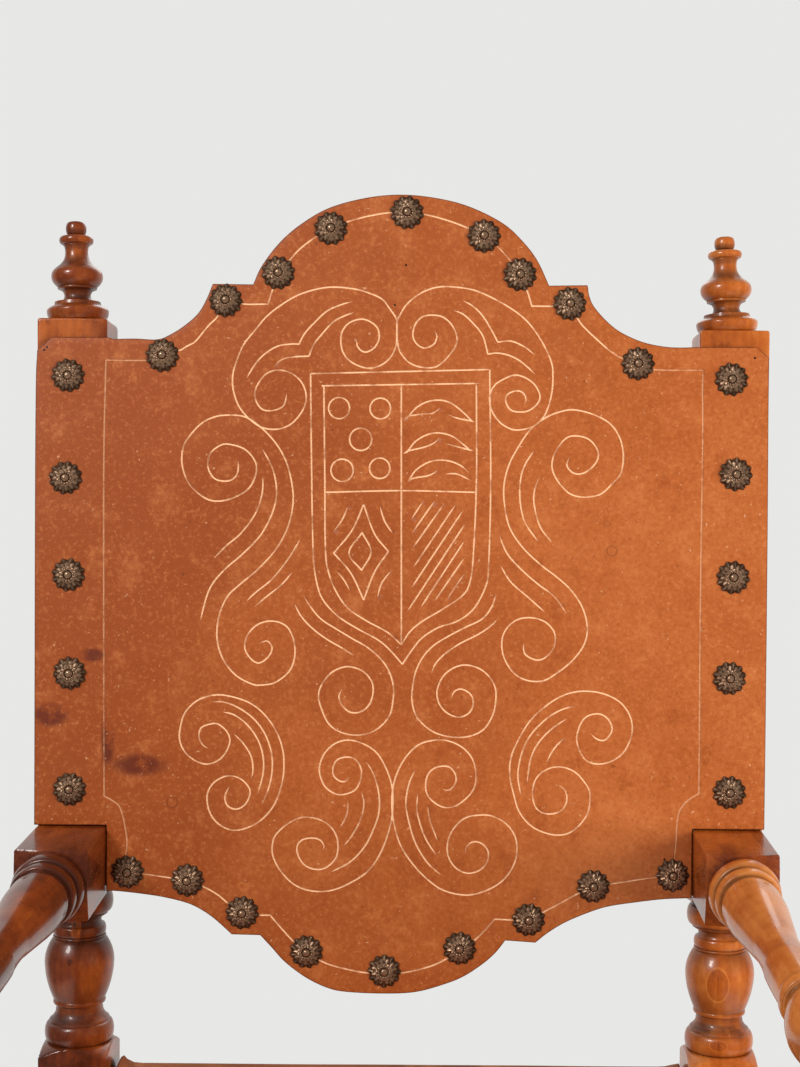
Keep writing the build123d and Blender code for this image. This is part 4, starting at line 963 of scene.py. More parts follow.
# Tooled back hide
# A thick vegetable-tanned hide, cut out by knife. A shield with scrolls round it and a border
# line were scored into the damp leather with a blunt tool, and show pale where the dye is cut.
strokes = {  # the middle of each passes through these pixels of the photograph
    "top_scroll_a": (
        (356, 337), (358, 347), (365, 352), (374, 348), (379, 339), (378, 329), (371, 322), (361, 319),
        (349, 323), (342, 332), (341, 343), (344, 354), (353, 363), (367, 368), (379, 366), (389, 359),
        (395, 349), (397, 337), (397, 322), (400, 315), (407, 304), (421, 293), (438, 287), (456, 287),
        (474, 290), (491, 297), (509, 307), (524, 318), (536, 332), (546, 349), (552, 364), (553, 377),
        (552, 392), (548, 408), (542, 419), (532, 427), (516, 430), (505, 426), (497, 419), (491, 408),
        (490, 395), (495, 385), (504, 379), (515, 375), (526, 378), (535, 385), (540, 395), (538, 403),
        (530, 410), (521, 412), (511, 410), (506, 402), (507, 395), (515, 391), (522, 392), (526, 398),
        (525, 405),
    ),
    "top_scroll_b": (
        (434, 330), (437, 336), (434, 344), (425, 348), (417, 344), (413, 336), (415, 325), (422, 317),
        (432, 315), (443, 317), (452, 325), (457, 337), (455, 347), (446, 359), (435, 367), (421, 367),
        (410, 363), (403, 356), (399, 349), (397, 337), (397, 326), (396, 318), (390, 309), (382, 299),
        (369, 293), (355, 289), (334, 287), (317, 289), (298, 295), (281, 305), (267, 316), (256, 329),
        (244, 344), (237, 360), (233, 374), (233, 388), (237, 402), (243, 412), (253, 422), (264, 428),
        (278, 429), (291, 424), (301, 413), (306, 401), (305, 389), (299, 379), (289, 372), (277, 370),
        (266, 374), (258, 384), (255, 393), (257, 403), (264, 410), (275, 410), (284, 405), (287, 392),
    ),
    "upper_left_leaf_a": ((246, 379), (256, 363), (266, 353), (278, 346), (291, 344), (299, 344)),
    "upper_left_leaf_b": ((299, 344), (305, 333), (315, 322), (327, 311), (340, 305), (354, 301)),
    "upper_left_leaf_c": ((273, 367), (281, 360), (292, 357), (309, 356)),
    "upper_left_leaf_d": ((309, 356), (314, 344), (322, 334), (333, 322), (344, 316), (355, 312)),
    "upper_right_leaf_a": ((462, 300), (473, 306), (483, 316), (491, 329), (498, 342)),
    "upper_right_leaf_b": ((498, 342), (511, 341), (525, 347), (536, 356)),
    "upper_right_leaf_c": ((452, 310), (463, 314), (474, 324), (483, 336), (488, 354)),
    "upper_right_leaf_d": ((488, 354), (498, 353), (511, 356), (523, 363), (536, 375)),
    "shield_outer_top": ((310.6, 373.5), (491.8, 369.4)),
    "shield_outer_left": (
        (310.6, 373.5), (311.8, 482.4), (313.3, 553.9), (316.3, 580.4), (322.4, 598.8), (336.7, 615.1),
        (355.1, 627.3), (377.6, 639.6), (389.8, 649.8), (402.4, 664.1),
    ),
    "shield_outer_right": (
        (489.8, 370.2), (490.8, 482.4), (488.8, 564.1), (485.7, 586.5), (473.5, 609), (457.1, 621.2),
        (438.8, 627.3), (422.4, 637.6), (412.2, 649.8), (402.4, 664.1),
    ),
    "shield_inner_top": ((322.9, 385.7), (481.2, 383.3)),
    "shield_inner_left": (
        (323.9, 386.1), (324.9, 482.4), (325.5, 549.8), (328.6, 572.2), (336.7, 592.7), (349, 609),
        (367.3, 621.2), (387.8, 632.4), (401.4, 644.7),
    ),
    "shield_inner_right": (
        (476.5, 384.5), (476.5, 482.4), (473.5, 553.9), (470.4, 580.4), (463.3, 594.7), (442.9, 609),
        (422.4, 621.2), (410.2, 631.4), (401.4, 644.7),
    ),
    "shield_upright": ((401.4, 386.5), (401.4, 644.7)),
    "shield_crossbar": ((326.9, 492.2), (401.4, 490.6), (475.1, 492.2)),
    "crescent_1_upper": (
        (408, 417), (416, 408), (426.5, 402), (439, 400), (451, 403), (463, 412), (472, 421),
    ),
    "crescent_1_lower_a": ((408, 416), (422, 414), (433, 413), (441, 407)),
    "crescent_1_lower_b": ((446, 413.5), (457, 418), (472, 421)),
    "crescent_2_upper": (
        (407, 452), (416, 441), (429, 434), (441, 433), (453, 436.5), (463, 444), (470, 450),
    ),
    "crescent_2_lower_a": ((407, 451), (424.5, 447), (434, 443), (440, 437)),
    "crescent_2_lower_b": ((444, 443), (455, 446), (470, 450)),
    "crescent_3_upper": (
        (408.6, 481), (416, 470), (429, 462), (441, 460), (453, 462), (463, 467), (470, 474),
    ),
    "crescent_3_lower_a": ((408.6, 481), (414, 478), (426.5, 476), (434, 473), (438, 469)),
    "crescent_3_lower_b": ((444, 474), (457, 474), (472, 481)),
    "lozenge_upper_left": ((363.7, 504.5), (352, 530.4), (333.7, 552.9)),
    "lozenge_lower_left": ((333.7, 552.9), (351, 573.3), (363.7, 599.8)),
    "lozenge_lower_right": ((363.7, 599.8), (374.5, 572.2), (388.4, 551.4)),
    "lozenge_upper_right": ((388.4, 551.4), (374.5, 533.5), (363.7, 504.5)),
    "lozenge_inner_left": ((362.2, 532.4), (349, 552.9), (361.6, 570.2)),
    "lozenge_inner_right": ((361.6, 570.2), (371, 551.8), (362.2, 532.4)),
    "corner_upper_left": ((348.6, 505), (342, 520), (332.7, 532.4)),
    "corner_upper_right": ((379.6, 504.5), (384.7, 521), (394, 535)),
    "corner_lower_left": ((335.7, 570), (344, 580), (350.6, 592)),
    "corner_lower_right": ((391.4, 570), (381.6, 583.5), (377, 599)),
    "diagonal_1": ((424, 500), (410.6, 520.4)),
    "diagonal_2": ((435.3, 500), (411.8, 533.5)),
    "diagonal_3": ((445.3, 502), (411.8, 549.4)),
    "diagonal_4": ((456, 504), (413, 568)),
    "diagonal_5": ((464, 509), (411, 588.6)),
    "diagonal_6": ((465.7, 523), (407, 612)),
    "diagonal_7": ((465.3, 539.6), (420.4, 608)),
    "diagonal_8": ((465, 557), (433.7, 602.4)),
    "diagonal_9": ((464.5, 573.3), (446.5, 600)),
    "foot_scroll_left": (
        (303, 595), (310, 606), (321, 619), (338, 630), (353, 639), (367, 647), (380, 658), (389, 671),
        (393.5, 686.5), (393, 700.5), (390, 714.5), (381, 726), (369, 733), (354.5, 735), (340.5, 732),
        (329, 724), (322, 710), (318.5, 696), (322, 684), (331, 673), (342, 667.5), (352, 667), (364, 672),
        (372, 682), (373, 693.5), (369, 705), (360, 712), (350, 712), (342, 705), (339, 696), (343, 688),
    ),
    "foot_vein_left": ((294, 603), (301, 616), (312, 628), (326.5, 639), (342, 648), (354.5, 656)),
    "foot_scroll_right": (
        (496.5, 592), (492, 606.5), (482, 619), (465, 627.5), (447, 637), (433, 646), (423, 657), (416, 671),
        (413, 685), (412, 699), (415, 713), (423, 724), (436, 733), (453, 737), (470, 736), (484, 729),
        (493, 714.5), (496, 699), (495, 686.5), (488, 675), (477, 667.5), (463, 665), (450, 670),
        (441.5, 679), (437, 692), (440, 705), (449, 714), (460, 717), (470, 712), (473.5, 702), (470, 693.5),
        (461, 689), (454, 692), (451, 700),
    ),
    "foot_vein_right": ((498, 618), (492, 625), (478, 634.5), (461, 643), (446, 653), (436, 663), (431, 674)),
    "side_scroll_left": (
        (238, 459), (238, 471), (233, 479), (224, 481), (214, 478), (208, 467), (210, 454), (219, 446),
        (228, 444), (244.5, 449), (255, 461), (256, 473.5), (249, 488), (235, 497), (219, 501), (205, 498),
        (190, 485), (183, 469), (182, 454), (186, 441), (200, 424.5), (214, 417), (229, 415), (245.5, 417),
        (260, 426.5), (275, 442), (286, 461), (292, 484), (293, 504), (288, 526.5), (276, 549), (258, 569),
        (239, 585), (227, 597), (219, 616), (217, 637), (222, 657), (235, 674.5), (252, 684), (262, 685),
        (276, 682), (290, 670), (295, 653), (292, 635), (284, 624.5), (270, 621), (256, 625.5), (246.5, 637),
        (245, 649), (251, 659), (259, 663), (268, 657), (272, 648), (267, 641), (258, 644),
    ),
    "side_left_a": (
        (262, 448), (272, 467), (276.5, 488), (274, 508), (262, 533), (243.5, 553), (223, 571), (209, 590),
        (200, 621),
    ),
    "side_left_b": ((263, 475.5), (262, 494), (255, 514), (241, 533), (227, 545), (213, 559)),
    "side_left_c": ((301, 538), (288, 559), (272, 579), (256, 592), (245.5, 602)),
    "side_left_d": ((293, 571), (282, 584), (266, 597), (253, 608)),
    "side_scroll_right": (
        (570, 455.5), (567, 465), (572, 472), (580, 474), (589, 470), (597, 461), (598, 451), (590, 440),
        (578, 436), (566.5, 438), (556, 451), (552, 465), (556, 478), (566.5, 491), (576, 496), (587.5, 497),
        (601, 494), (612, 484), (621, 473), (623.5, 455.5), (620, 438), (610.5, 424), (595, 415), (576, 410),
        (563, 411), (547, 417), (531, 429), (519, 446), (509, 465), (504, 486), (505, 507), (510, 528),
        (522.5, 547), (540, 564), (557, 577), (572, 591), (583, 608.5), (587.5, 628), (584, 645), (572, 661),
        (555, 674.5), (542, 681), (526, 680), (513, 672), (504, 657), (502, 641), (507, 628), (519, 619),
        (534, 618), (547, 623), (555, 634), (554, 647), (546, 657), (537, 660), (526, 655), (523.5, 647),
        (525, 642),
    ),
    "side_right_a": ((535, 449), (524, 467), (520, 486), (521, 507), (526, 524), (539, 542.5)),
    "side_right_b": ((539, 476.5), (534, 494), (535.5, 511), (541, 528), (553, 543.5)),
    "side_right_c": ((499, 534), (507, 553), (521, 569), (538, 584), (555, 597), (567.5, 615)),
    "side_right_d": ((500, 564.5), (511, 582), (528, 597), (546, 613)),
    "low_outer_left": (
        (209, 749), (203, 745), (199, 737), (201, 728), (210, 724), (218, 724), (226.5, 731), (230, 740),
        (227, 750), (220, 759), (208, 764), (196, 761), (185, 752), (179.5, 739), (181, 724), (186, 711),
        (198, 700), (214, 695), (229, 696), (248, 702), (262, 712), (274, 727), (281.5, 744.5), (284, 762),
        (282, 783), (274, 805), (261, 820), (246, 828), (233, 830), (220, 825), (210, 813), (207, 796),
        (212.5, 784), (223, 777), (233, 776), (243, 780.5), (250, 790), (248, 800), (242, 807), (234.5, 809),
        (227, 805), (225, 796), (230, 785),
    ),
    "low_outer_left_a": (
        (211, 702), (224, 702), (239, 708), (254, 719), (265, 734), (271.5, 753), (272, 772), (268, 790),
        (261, 806),
    ),
    "low_outer_left_b": (
        (221, 711.5), (234.5, 715), (248, 725.5), (258, 740), (263, 756), (263, 774), (257, 796),
    ),
    "low_outer_left_c": ((233, 733), (243, 743), (251, 756), (253, 769.5), (251, 780)),
    "low_inner_left": (
        (350, 775), (346, 781), (340, 781), (334, 776), (333, 768), (337, 760), (346, 757), (355, 759),
        (361, 768), (361, 778), (356, 789), (346, 794), (336, 794), (325.5, 787), (320, 775), (320, 764),
        (325.5, 752), (336, 743), (349, 740), (364, 744), (377, 753), (386, 768), (392, 786), (393, 806),
        (390, 827), (381, 852), (368, 871), (350, 883), (331, 890.5), (312, 891), (295, 885), (281.5, 872),
        (273, 856), (273, 841), (279, 831), (292, 821), (306, 817), (323, 821), (334, 831), (338, 844),
        (336, 857.5), (327, 867), (317, 869.5), (306, 866), (299, 857.5), (297, 847), (302, 840), (312, 838),
        (320, 840), (324, 846), (322, 851),
    ),
    "low_inner_left_a": (
        (366, 761), (374, 775), (379, 794), (379, 812), (374, 828), (365, 846), (350, 862), (330, 872.5),
    ),
    "low_inner_left_b": ((361, 790), (364, 803), (361, 818), (353, 834), (343, 847)),
    "low_inner_left_c": ((348, 800), (347.5, 811), (344, 821), (339, 828)),
    "low_inner_right": (
        (441, 789), (449, 790), (455, 784), (456, 776), (451, 768), (443, 766), (433, 769), (427, 777),
        (426, 790), (431.5, 800), (443, 807), (455, 806), (466.5, 798), (474.5, 787), (476, 772.5),
        (472, 758), (462, 747), (449, 741), (436, 740), (420, 744), (407.5, 755), (398, 771), (393, 788),
        (392, 808), (395, 828), (401, 846), (412, 863), (427, 879), (444, 890.5), (466.5, 895), (486, 890.5),
        (502, 881), (513, 866.5), (517, 851), (515, 836), (506, 823.5), (492, 816), (479, 815), (465, 818),
        (454, 828), (448, 841), (448, 855), (455, 867), (466.5, 873), (479, 870.5), (487, 862), (488, 851),
        (481, 843), (472, 842), (466, 848), (466.5, 856),
    ),
    "low_inner_right_a": (
        (415.5, 769), (409, 784), (406, 803), (409, 822), (415.5, 843), (427, 862), (442, 876),
    ),
    "low_inner_right_b": ((418, 792), (417, 808), (420, 823.5), (427, 841), (437, 856)),
    "low_inner_right_c": ((427.5, 805), (430, 820), (438, 842)),
    "low_outer_right": (
        (590, 733), (597, 739), (605, 740), (612, 731), (610, 721.5), (603, 715), (594, 714), (585, 718),
        (579, 728), (577, 741), (582, 755), (589, 762), (600.5, 764), (613, 760.5), (624, 752), (631.5, 736),
        (631.5, 720), (624, 706), (612, 697), (596, 692), (578, 691.5), (562, 696), (546, 706), (530, 721),
        (518, 741), (511, 758), (510, 776), (514, 795), (519, 811), (529, 824), (541.5, 831.5), (556, 835),
        (569, 833), (581, 823.5), (588.5, 811), (590, 793), (584.5, 782), (575, 772), (562, 767),
        (549, 768.5), (538, 776), (533, 788), (534, 803), (540, 811.5), (551, 814), (562, 810), (567, 800),
        (565, 790), (557, 784),
    ),
    "low_outer_right_a": ((576, 706), (561, 710), (545, 720), (530, 736), (522, 753), (518, 774), (521, 796)),
    "low_outer_right_b": ((568, 718), (553, 728), (540, 741), (531, 758), (527, 784)),
    "low_outer_right_c": ((565, 737), (554, 749), (546, 763)),
    "border_top_1": ((105.8, 360), (147, 360), (163, 355)),
    "border_top_2": ((163, 355), (179, 350.5), (187, 346), (195.6, 341), (208, 326), (217, 317), (227, 301)),
    "border_top_3": ((227, 301), (244, 304), (268, 304)),
    "border_top_4": ((268, 304), (272.6, 289.6), (279, 273)),
    "border_arch": (
        (279, 273), (302, 247), (332, 228), (368, 216), (407, 212), (447, 220), (484, 236), (505, 254),
        (519.5, 274),
    ),
    "border_top_5": ((519.5, 274), (527, 290), (532, 306)),
    "border_top_6": ((532, 306), (554, 306), (570, 304)),
    "border_top_7": (
        (570, 304), (579, 320.5), (587, 330), (601, 343), (609, 350), (621.6, 358), (638, 363),
        (654.5, 369.5), (703.6, 370.2),
    ),
    "border_right": ((703.6, 370.2), (702.6, 390), (702.9, 438), (700.5, 620), (699.2, 793.5)),
    "border_low_1": (
        (699.2, 793.5), (688, 800.5), (681, 809), (678, 818), (676, 839), (674, 861), (673, 876),
    ),
    "border_low_2": ((673, 876), (657, 877), (610, 884), (593, 886)),
    "border_low_3": ((593, 886), (579, 893), (560.5, 903), (541.5, 913), (527, 920)),
    "border_low_4": ((527, 920), (513, 920), (494.6, 919)),
    "border_low_5": (
        (494.6, 919), (485, 930), (473, 941.5), (460, 948), (446, 959), (428, 967), (401, 973), (384, 971),
        (368, 973), (341, 968), (323, 962), (306, 951), (294.5, 942.5), (282, 929), (270, 915),
    ),
    "border_low_6": ((270, 915), (259, 915), (242, 912)),
    "border_low_7": ((242, 912), (229, 904), (218, 895), (204, 887), (187, 881)),
    "border_low_8": ((187, 881), (171, 878), (144, 874), (128, 872)),
    "border_low_9": (
        (128, 872), (126, 857), (127, 841), (125, 827), (122.5, 815), (119, 806), (113, 801), (104, 796),
    ),
    "border_left": ((104, 796), (103.7, 479), (105.8, 360)),
}
circles = (
    (339.2, 408, 10.6), (380.4, 408.4, 10.4), (360.8, 439.2, 11.2), (342.2, 470.2, 11.2),
    (379.8, 468.2, 10.3),
)
circle_points = 12
line_half = 0.85 * mm
line_sunk = 0.75 * mm
line_fade = 7 * mm  # a stroke that ends by itself runs out over this length
line_step = 1.6 * mm
line_rows = (-1.0, -0.5, 0.0, 0.5, 1.0)
hide_rounding = 1.1 * mm
hide_grid = 5 * mm
middles = [smooth_line([from_photo(*p) for p in stroke], line_step) for stroke in strokes.values()]
for x, y, reach in circles:
    round_points = [
        (x + reach * cos(2 * pi * i / circle_points), y + reach * sin(2 * pi * i / circle_points))
        for i in range(circle_points + 1)
    ]
    middles.append(smooth_line([from_photo(*p) for p in round_points], line_step))
tool_lines, fades = [], []
for middle in middles:
    ahead = np.gradient(middle, axis=0)
    ahead /= np.linalg.norm(ahead, axis=1, keepdims=True)
    side_step = np.stack([-ahead[:, 1], ahead[:, 0]], 1)
    others = point_tree([tuple(p) for m in middles if m is not middle for p in m])
    run = np.arange(len(middle)) * line_step
    fade = np.ones(len(middle))
    closed = np.hypot(*(middle[0] - middle[-1])) < line_step
    for end, away in ((middle[0], run), (middle[-1], run[::-1])):
        if not closed and others.find((*end, 0))[2] > 2 * line_half:
            fade = np.minimum(fade, (away / line_fade).clip(0, 1) ** 0.6)
    fades.append(fade)
    tool_lines += [middle + side_step * (row * line_half * fade.clip(0.3, 1))[:, None] for row in line_rows]
fine_middles = []
for middle, fade in zip(middles, fades):
    fine = np.linspace(0, len(middle) - 1, 4 * len(middle))
    columns = (middle[:, 0], middle[:, 1], fade)
    fine_middles += list(zip(*(np.interp(fine, np.arange(len(middle)), column) for column in columns)))
middle_tree = point_tree([p[:2] for p in fine_middles])


def tooled_depth(x, s):
    """How deep the scored line is here, and how much of its pale bottom shows."""
    _, index, away = middle_tree.find((x, s, 0))
    fade = fine_middles[index][2]
    share = (1 - (away / (line_half * max(0.3, fade))) ** 2) * fade
    return (line_sunk * share, share) if share > 0 else (0, 0)


def nail_places(node, head_height, lean=None):
    """The foot of each nail head, and the way it faces, from a node of separate nails."""
    shape = bmesh.new()
    shape.from_mesh(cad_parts[node].data)
    bmesh.ops.remove_doubles(shape, verts=shape.verts, dist=2 * weld_reach)
    unseen, places = set(shape.verts), []
    while unseen:
        group, edge = [], [unseen.pop()]
        while edge:
            vertex = edge.pop()
            group.append(vertex.co.copy())
            for link in vertex.link_edges:
                other = link.other_vert(vertex)
                if other in unseen:
                    unseen.remove(other)
                    edge.append(other)
        low = Vector([min(p[k] for p in group) for k in range(3)])
        high = Vector([max(p[k] for p in group) for k in range(3)])
        middle = (low + high) / 2
        if lean is not None:
            outward = lean
        else:
            k = min((0, 1), key=lambda k: high[k] - low[k])
            outward = Vector((0, 0, 0))
            outward[k] = 1 if middle[k] > (0, (front_y + rear_y) / 2)[k] else -1
        top = max((p - middle).dot(outward) for p in group)
        places.append((middle + outward * (top - head_height), outward))
    shape.free()
    return sorted(places, key=lambda found: tuple(found[0]))  # in the same order in each run


nail_height = 3.8 * mm
cad_roll, cad_middle_x, cad_foot_y = 0.0087, 402, 827  # how the photograph was laid flat for the solids
nail_pixels = (  # where each nail's middle is in the photograph
    (331, 228.5), (278.4, 272.8), (225.9, 300.4), (162.5, 355.3), (68.3, 375.5), (65.8, 477.8), (68.6, 574.8),
    (69.7, 673.2), (69.8, 789.2), (127.6, 871.8), (187.5, 880.2), (242.3, 912.6), (306.5, 951.6),
    (384.3, 971), (407.2, 212.6), (484.1, 236.1), (520.1, 274.6), (570, 303.8), (638, 363.7), (731.5, 379.5),
    (735.8, 474.5), (733.1, 577.5), (729.5, 678.4), (729.3, 792.5), (672.5, 875.4), (593.3, 886.2),
    (528.6, 919.7), (459.6, 948.2),
)


def nail_in_photo(place):
    """A nail's place moved from a plain scaling of the photograph to where it was hammered in."""
    offset = place - face_foot
    x = cad_middle_x + offset.dot(across) / photo_scale
    y = cad_foot_y - offset.dot(up_rake) / photo_scale - cad_roll * (cad_middle_x - x)
    x, y = min(nail_pixels, key=lambda pixel: (pixel[0] - x) ** 2 + (pixel[1] - y) ** 2)
    return on_back(*from_photo(x, y), offset.dot(front_normal))


back_places = [(nail_in_photo(p), n) for p, n in nail_places("back_nails", nail_height, front_normal)]
nail_tree = point_tree([((p - face_foot).dot(across), (p - face_foot).dot(up_rake)) for p, _ in back_places])
wave_height = 0.9 * mm
nail_grip_reach = 26 * mm
nail_press = 0.25 * mm


def hide_wave(x, s):
    """The slow waves of an old hide, pressed flat at the nails."""
    height = noise.noise(Vector((x * 7, s * 7, 3.1))) + 0.4 * noise.noise(Vector((x * 19, s * 19, 7.7)))
    free = min(1, nail_tree.find((x, s, 0))[2] / nail_grip_reach)
    return wave_height * height * free * free - nail_press * (1 - free)


hide = sheet_piece(
    "tooled_back_hide", outline, on_back, lining_thick, lining_thick + hide_thick, hide_grid,
    hide_rounding, tool_lines, tooled_depth, hide_wave,
)

leather_deep = (0.300, 0.060, 0.009)
leather_mid = (0.430, 0.106, 0.021)
leather_light = (0.615, 0.205, 0.060)
leather_dark = (0.110, 0.022, 0.006)
leather_cut = (0.900, 0.540, 0.310)
leather_red = (0.130, 0.020, 0.007)
dark_stains = (  # middle and half widths in pixels of the photograph
    (50, 715, 17, 11), (92, 655, 11, 6), (140, 765, 30, 12), (108, 740, 7, 30),
)
pin_reach = 1.3
pin_holes = ((406, 265), (395, 305), (47, 347), (44, 350), (755, 358), (664.5, 859.5))
imprints = ((172, 802.5, 5.4), (562, 502, 3.3), (612, 551, 5), (607, 524, 3))


def nearness(flat, x, y, half_x, half_y):
    """How far a place is from a mark, where 1 is the mark's edge."""
    halves = (half_x * photo_scale, half_y * photo_scale)
    location = tuple(-at / half for at, half in zip(from_photo(x, y), halves))
    return length_of(stretched(flat, (1 / halves[0], 1 / halves[1], 0), (*location, 0)))


def tooled_leather():
    """The tanned and waxed grain side, paler to the right, with pale tool lines."""
    material, tree, shader, here = new_material("tooled_leather")
    grain = grouped(grain_group, Vector=here)
    cut = mark_on(tree, "cut")
    edge = mark_on(tree, "edge")
    across_at = mark_on(tree, "x_across")
    up_at = mark_on(tree, "s_up")
    flat = put(tree, "ShaderNodeCombineXYZ", {"X": across_at, "Y": up_at}).outputs[0]
    # The colour is made paler toward the right and a little darker toward the top.
    rightward = between(across_at, -0.28, 0.26)
    raised = between(up_at, -0.10, 0.45)
    light = plus(times(rightward, 0.54), times(raised, -0.14))
    uneven = less(grain["Clouds"], 0.5)
    patchy = plus(light, times(uneven, 1.1))
    ground = blended(between(patchy, -0.1, 0.5), leather_deep, leather_mid)
    lit = blended(between(patchy, 0.35, 1.15), ground, leather_light)
    pale = times(between(grain["Mottle"], 0.50, 0.72), 0.42)
    mottled = blended(pale, lit, leather_light)
    deep = times(between(grain["Mottle"], 0.47, 0.30), 0.65)
    fine = cloud(here, 300.0, 4.0, 0.7)
    blotched = blended(deep, mottled, leather_deep)
    blotched = blended(times(between(fine, 0.50, 0.70), 0.40), blotched, leather_light)
    blotched = blended(times(between(fine, 0.50, 0.32), 0.45), blotched, leather_deep)
    stain = 0
    for x, y, half_x, half_y in dark_stains:
        near = plus(nearness(flat, x, y, half_x, half_y), times(uneven, 2.0))
        stain = most(stain, between(near, 1.25, 0.5))
    torn = times(stain, between(grain["Mottle"], 0.36, 0.54))
    stained = blended(times(torn, 0.92), blotched, leather_red)
    specked = blended(times(grain["Pale Specks"], 0.42), stained, leather_cut)
    marked = blended(times(grain["Dark Specks"], 0.45), specked, leather_dark)
    pressed = 0
    for x, y, reach in imprints:
        off = size_of(less(nearness(flat, x, y, reach, reach), 1.0))
        pressed = most(pressed, between(off, 0.24, 0.05))
    printed = blended(times(pressed, 0.35), marked, leather_dark)
    # Pin holes painted dark: the shade inside each hole, which is not cut in the mesh, with dirt.
    pierced = 0
    for x, y in pin_holes:
        pierced = most(pierced, between(nearness(flat, x, y, pin_reach, pin_reach), 1.1, 0.7))
    holed = blended(pierced, printed, dirt_and_shade_brown)
    shown = between(cut, 0.05, 0.70)
    worn = plus(between(cloud(here, 75.0, 3.0), 0.30, 0.62), 0.35, clamp=True)
    outer = between(size_of(across_at), 0.185, 0.205)  # the border is worn faint
    shown = times(shown, less(1.0, times(outer, 0.55)))
    scored = blended(times(shown, worn), holed, leather_cut)
    edged = blended(times(edge, 0.72), scored, leather_dark)
    finish_material(tree, shader, edged, ranged(grain["Mottle"], 0.40, 0.58), grain["Height"], 0.16, 0.0006)
    shader.inputs["Specular IOR Level"].default_value = 0.35
    return material


tooled_finish = tooled_leather()
dress(hide, "back_leather", tooled_finish)

# Back nails
# Stamped brass rosettes, darkened with age: three layers of ribbed petals round a ring of beads
# and a smooth boss. Each is driven through both hides into a post or cross rail.
head_reach = 13.7 * mm
petal_count = 12
bead_count = 13
bead_ring = 4.6 * mm
bead_reach = 0.95 * mm
boss_reach = 3.1 * mm
head_dome = 3.1 * mm
head_rim = 0.35 * mm
head_under = 0.6 * mm
rosette_crease = radians(35)
bead_lift, boss_lift = 0.9 * mm, 0.7 * mm
boss_groove, groove_lift = 0.5 * mm, 0.2 * mm
rib_height, rib_half = 0.28, 0.22  # of a petal's midrib, in mm and as a share of the petal's half
head_columns = petal_count * 10
head_shares = (
    0.08, 0.15, 0.20, 0.235, 0.27, 0.30, 0.33, 0.36, 0.39, 0.43, 0.47, 0.505, 0.53, 0.55, 0.58, 0.62, 0.66,
    0.70, 0.73, 0.755, 0.785, 0.82, 0.87, 0.92, 0.965, 1.0,
)
layers = ((1.0, 0, 0.0, 0.75), (0.76, 0.5, 0.60, 0.60), (0.53, 0, 1.05, 0.45))  # reach, turn, lift, crown


def petal_at(turn, shift):
    """How far across a petal this is: 0 on its midrib and 1 in the notch beside it."""
    return abs(2 * ((turn * petal_count / (2 * pi) + shift) % 1) - 1)


def petal_edge(turn, shift):
    """The outline of a layer of pointed petals, as a share of its reach."""
    return 1 - 0.15 * petal_at(turn, shift) ** 1.3


def rosette_height(reach, turn):
    """How far the stamped head stands from its foot."""
    share = reach / head_reach
    dome = head_dome * (1 - share ** 2.2)
    height = dome
    for layer_reach, shift, lift, crown in layers:
        off = petal_at(turn, shift)
        if share <= layer_reach * petal_edge(turn, shift) + 0.001:
            rib = rib_height * max(0, 1 - (off / rib_half) ** 2)
            height = dome + (lift + crown * (1 - off ** 1.6) + rib - 0.2 * share / layer_reach) * mm
    ring_turn = (turn * bead_count / (2 * pi)) % 1 - 0.5
    off = hypot(reach - bead_ring, ring_turn * 2 * pi / bead_count * bead_ring)
    if off < bead_reach:
        height = max(height, head_dome + bead_lift + sqrt(bead_reach ** 2 - off ** 2))
    if reach < boss_reach:
        height = max(height, head_dome + boss_lift + 0.8 * sqrt(boss_reach ** 2 - reach ** 2))
    elif reach < boss_reach + boss_groove:
        height = head_dome + groove_lift
    return height


def rosette_mesh():
    """One closed rosette head, its foot at the origin and facing up."""
    vertices, faces, hollow = [(0, 0, rosette_height(0, 0))], [], [0.0]
    for share in head_shares:
        for column in range(head_columns):
            turn = 2 * pi * column / head_columns
            edge = petal_edge(turn, 0)
            reach = head_reach * share * (edge if share > 0.9 else 1 + (edge - 1) * share)
            height = rosette_height(reach, turn) if share < 1 else head_rim
            vertices.append((reach * cos(turn), reach * sin(turn), height))
            smooth = head_dome * (1 - (reach / head_reach) ** 2.2) + 1.5 * mm
            hollow.append(min(1, max(0, (smooth - height) / (1.3 * mm))))
    start = len(vertices)
    for column in range(head_columns):
        x, y, height = vertices[start - head_columns + column]
        vertices.append((x * 0.985, y * 0.985, -head_under))
        hollow.append(1.0)
    vertices.append((0, 0, -head_under))
    hollow.append(1.0)
    for column in range(head_columns):
        after = (column + 1) % head_columns
        faces.append((0, 1 + column, 1 + after))
        for ring in range(len(head_shares)):
            low = 1 + ring * head_columns
            faces.append((low + column, low + head_columns + column, low + head_columns + after, low + after))
        faces.append((start + column, len(vertices) - 1, start + after))
    mesh = bpy.data.meshes.new("rosette_head")
    mesh.from_pydata(vertices, [], faces)
    mark_points(mesh, "hollow", hollow)
    return mesh


rosette = finish_mesh("rosette_head", rosette_mesh(), rosette_crease)


def old_brass():
    """Dark bronzed brass, black in the hollows and rubbed bright on the raised petals."""
    material, tree, shader, here = new_material("nail_brass")
    hollow = mark_on(tree, "hollow")
    patches = cloud(here, 160.0, 4.0, 0.65)
    shade = plus(hollow, times(less(patches, 0.5), 1.1))
    ground = blended(between(shade, 0.1, 0.9), (0.42, 0.265, 0.165), (0.080, 0.040, 0.021))
    shader.inputs["Metallic"].default_value = 0.75
    pitted = cloud(here, 900.0, 3.0, 0.6)
    finish_material(tree, shader, ground, ranged(shade, 0.34, 0.62), pitted, 0.25, 0.0003)
    return material


brass_finish = old_brass()


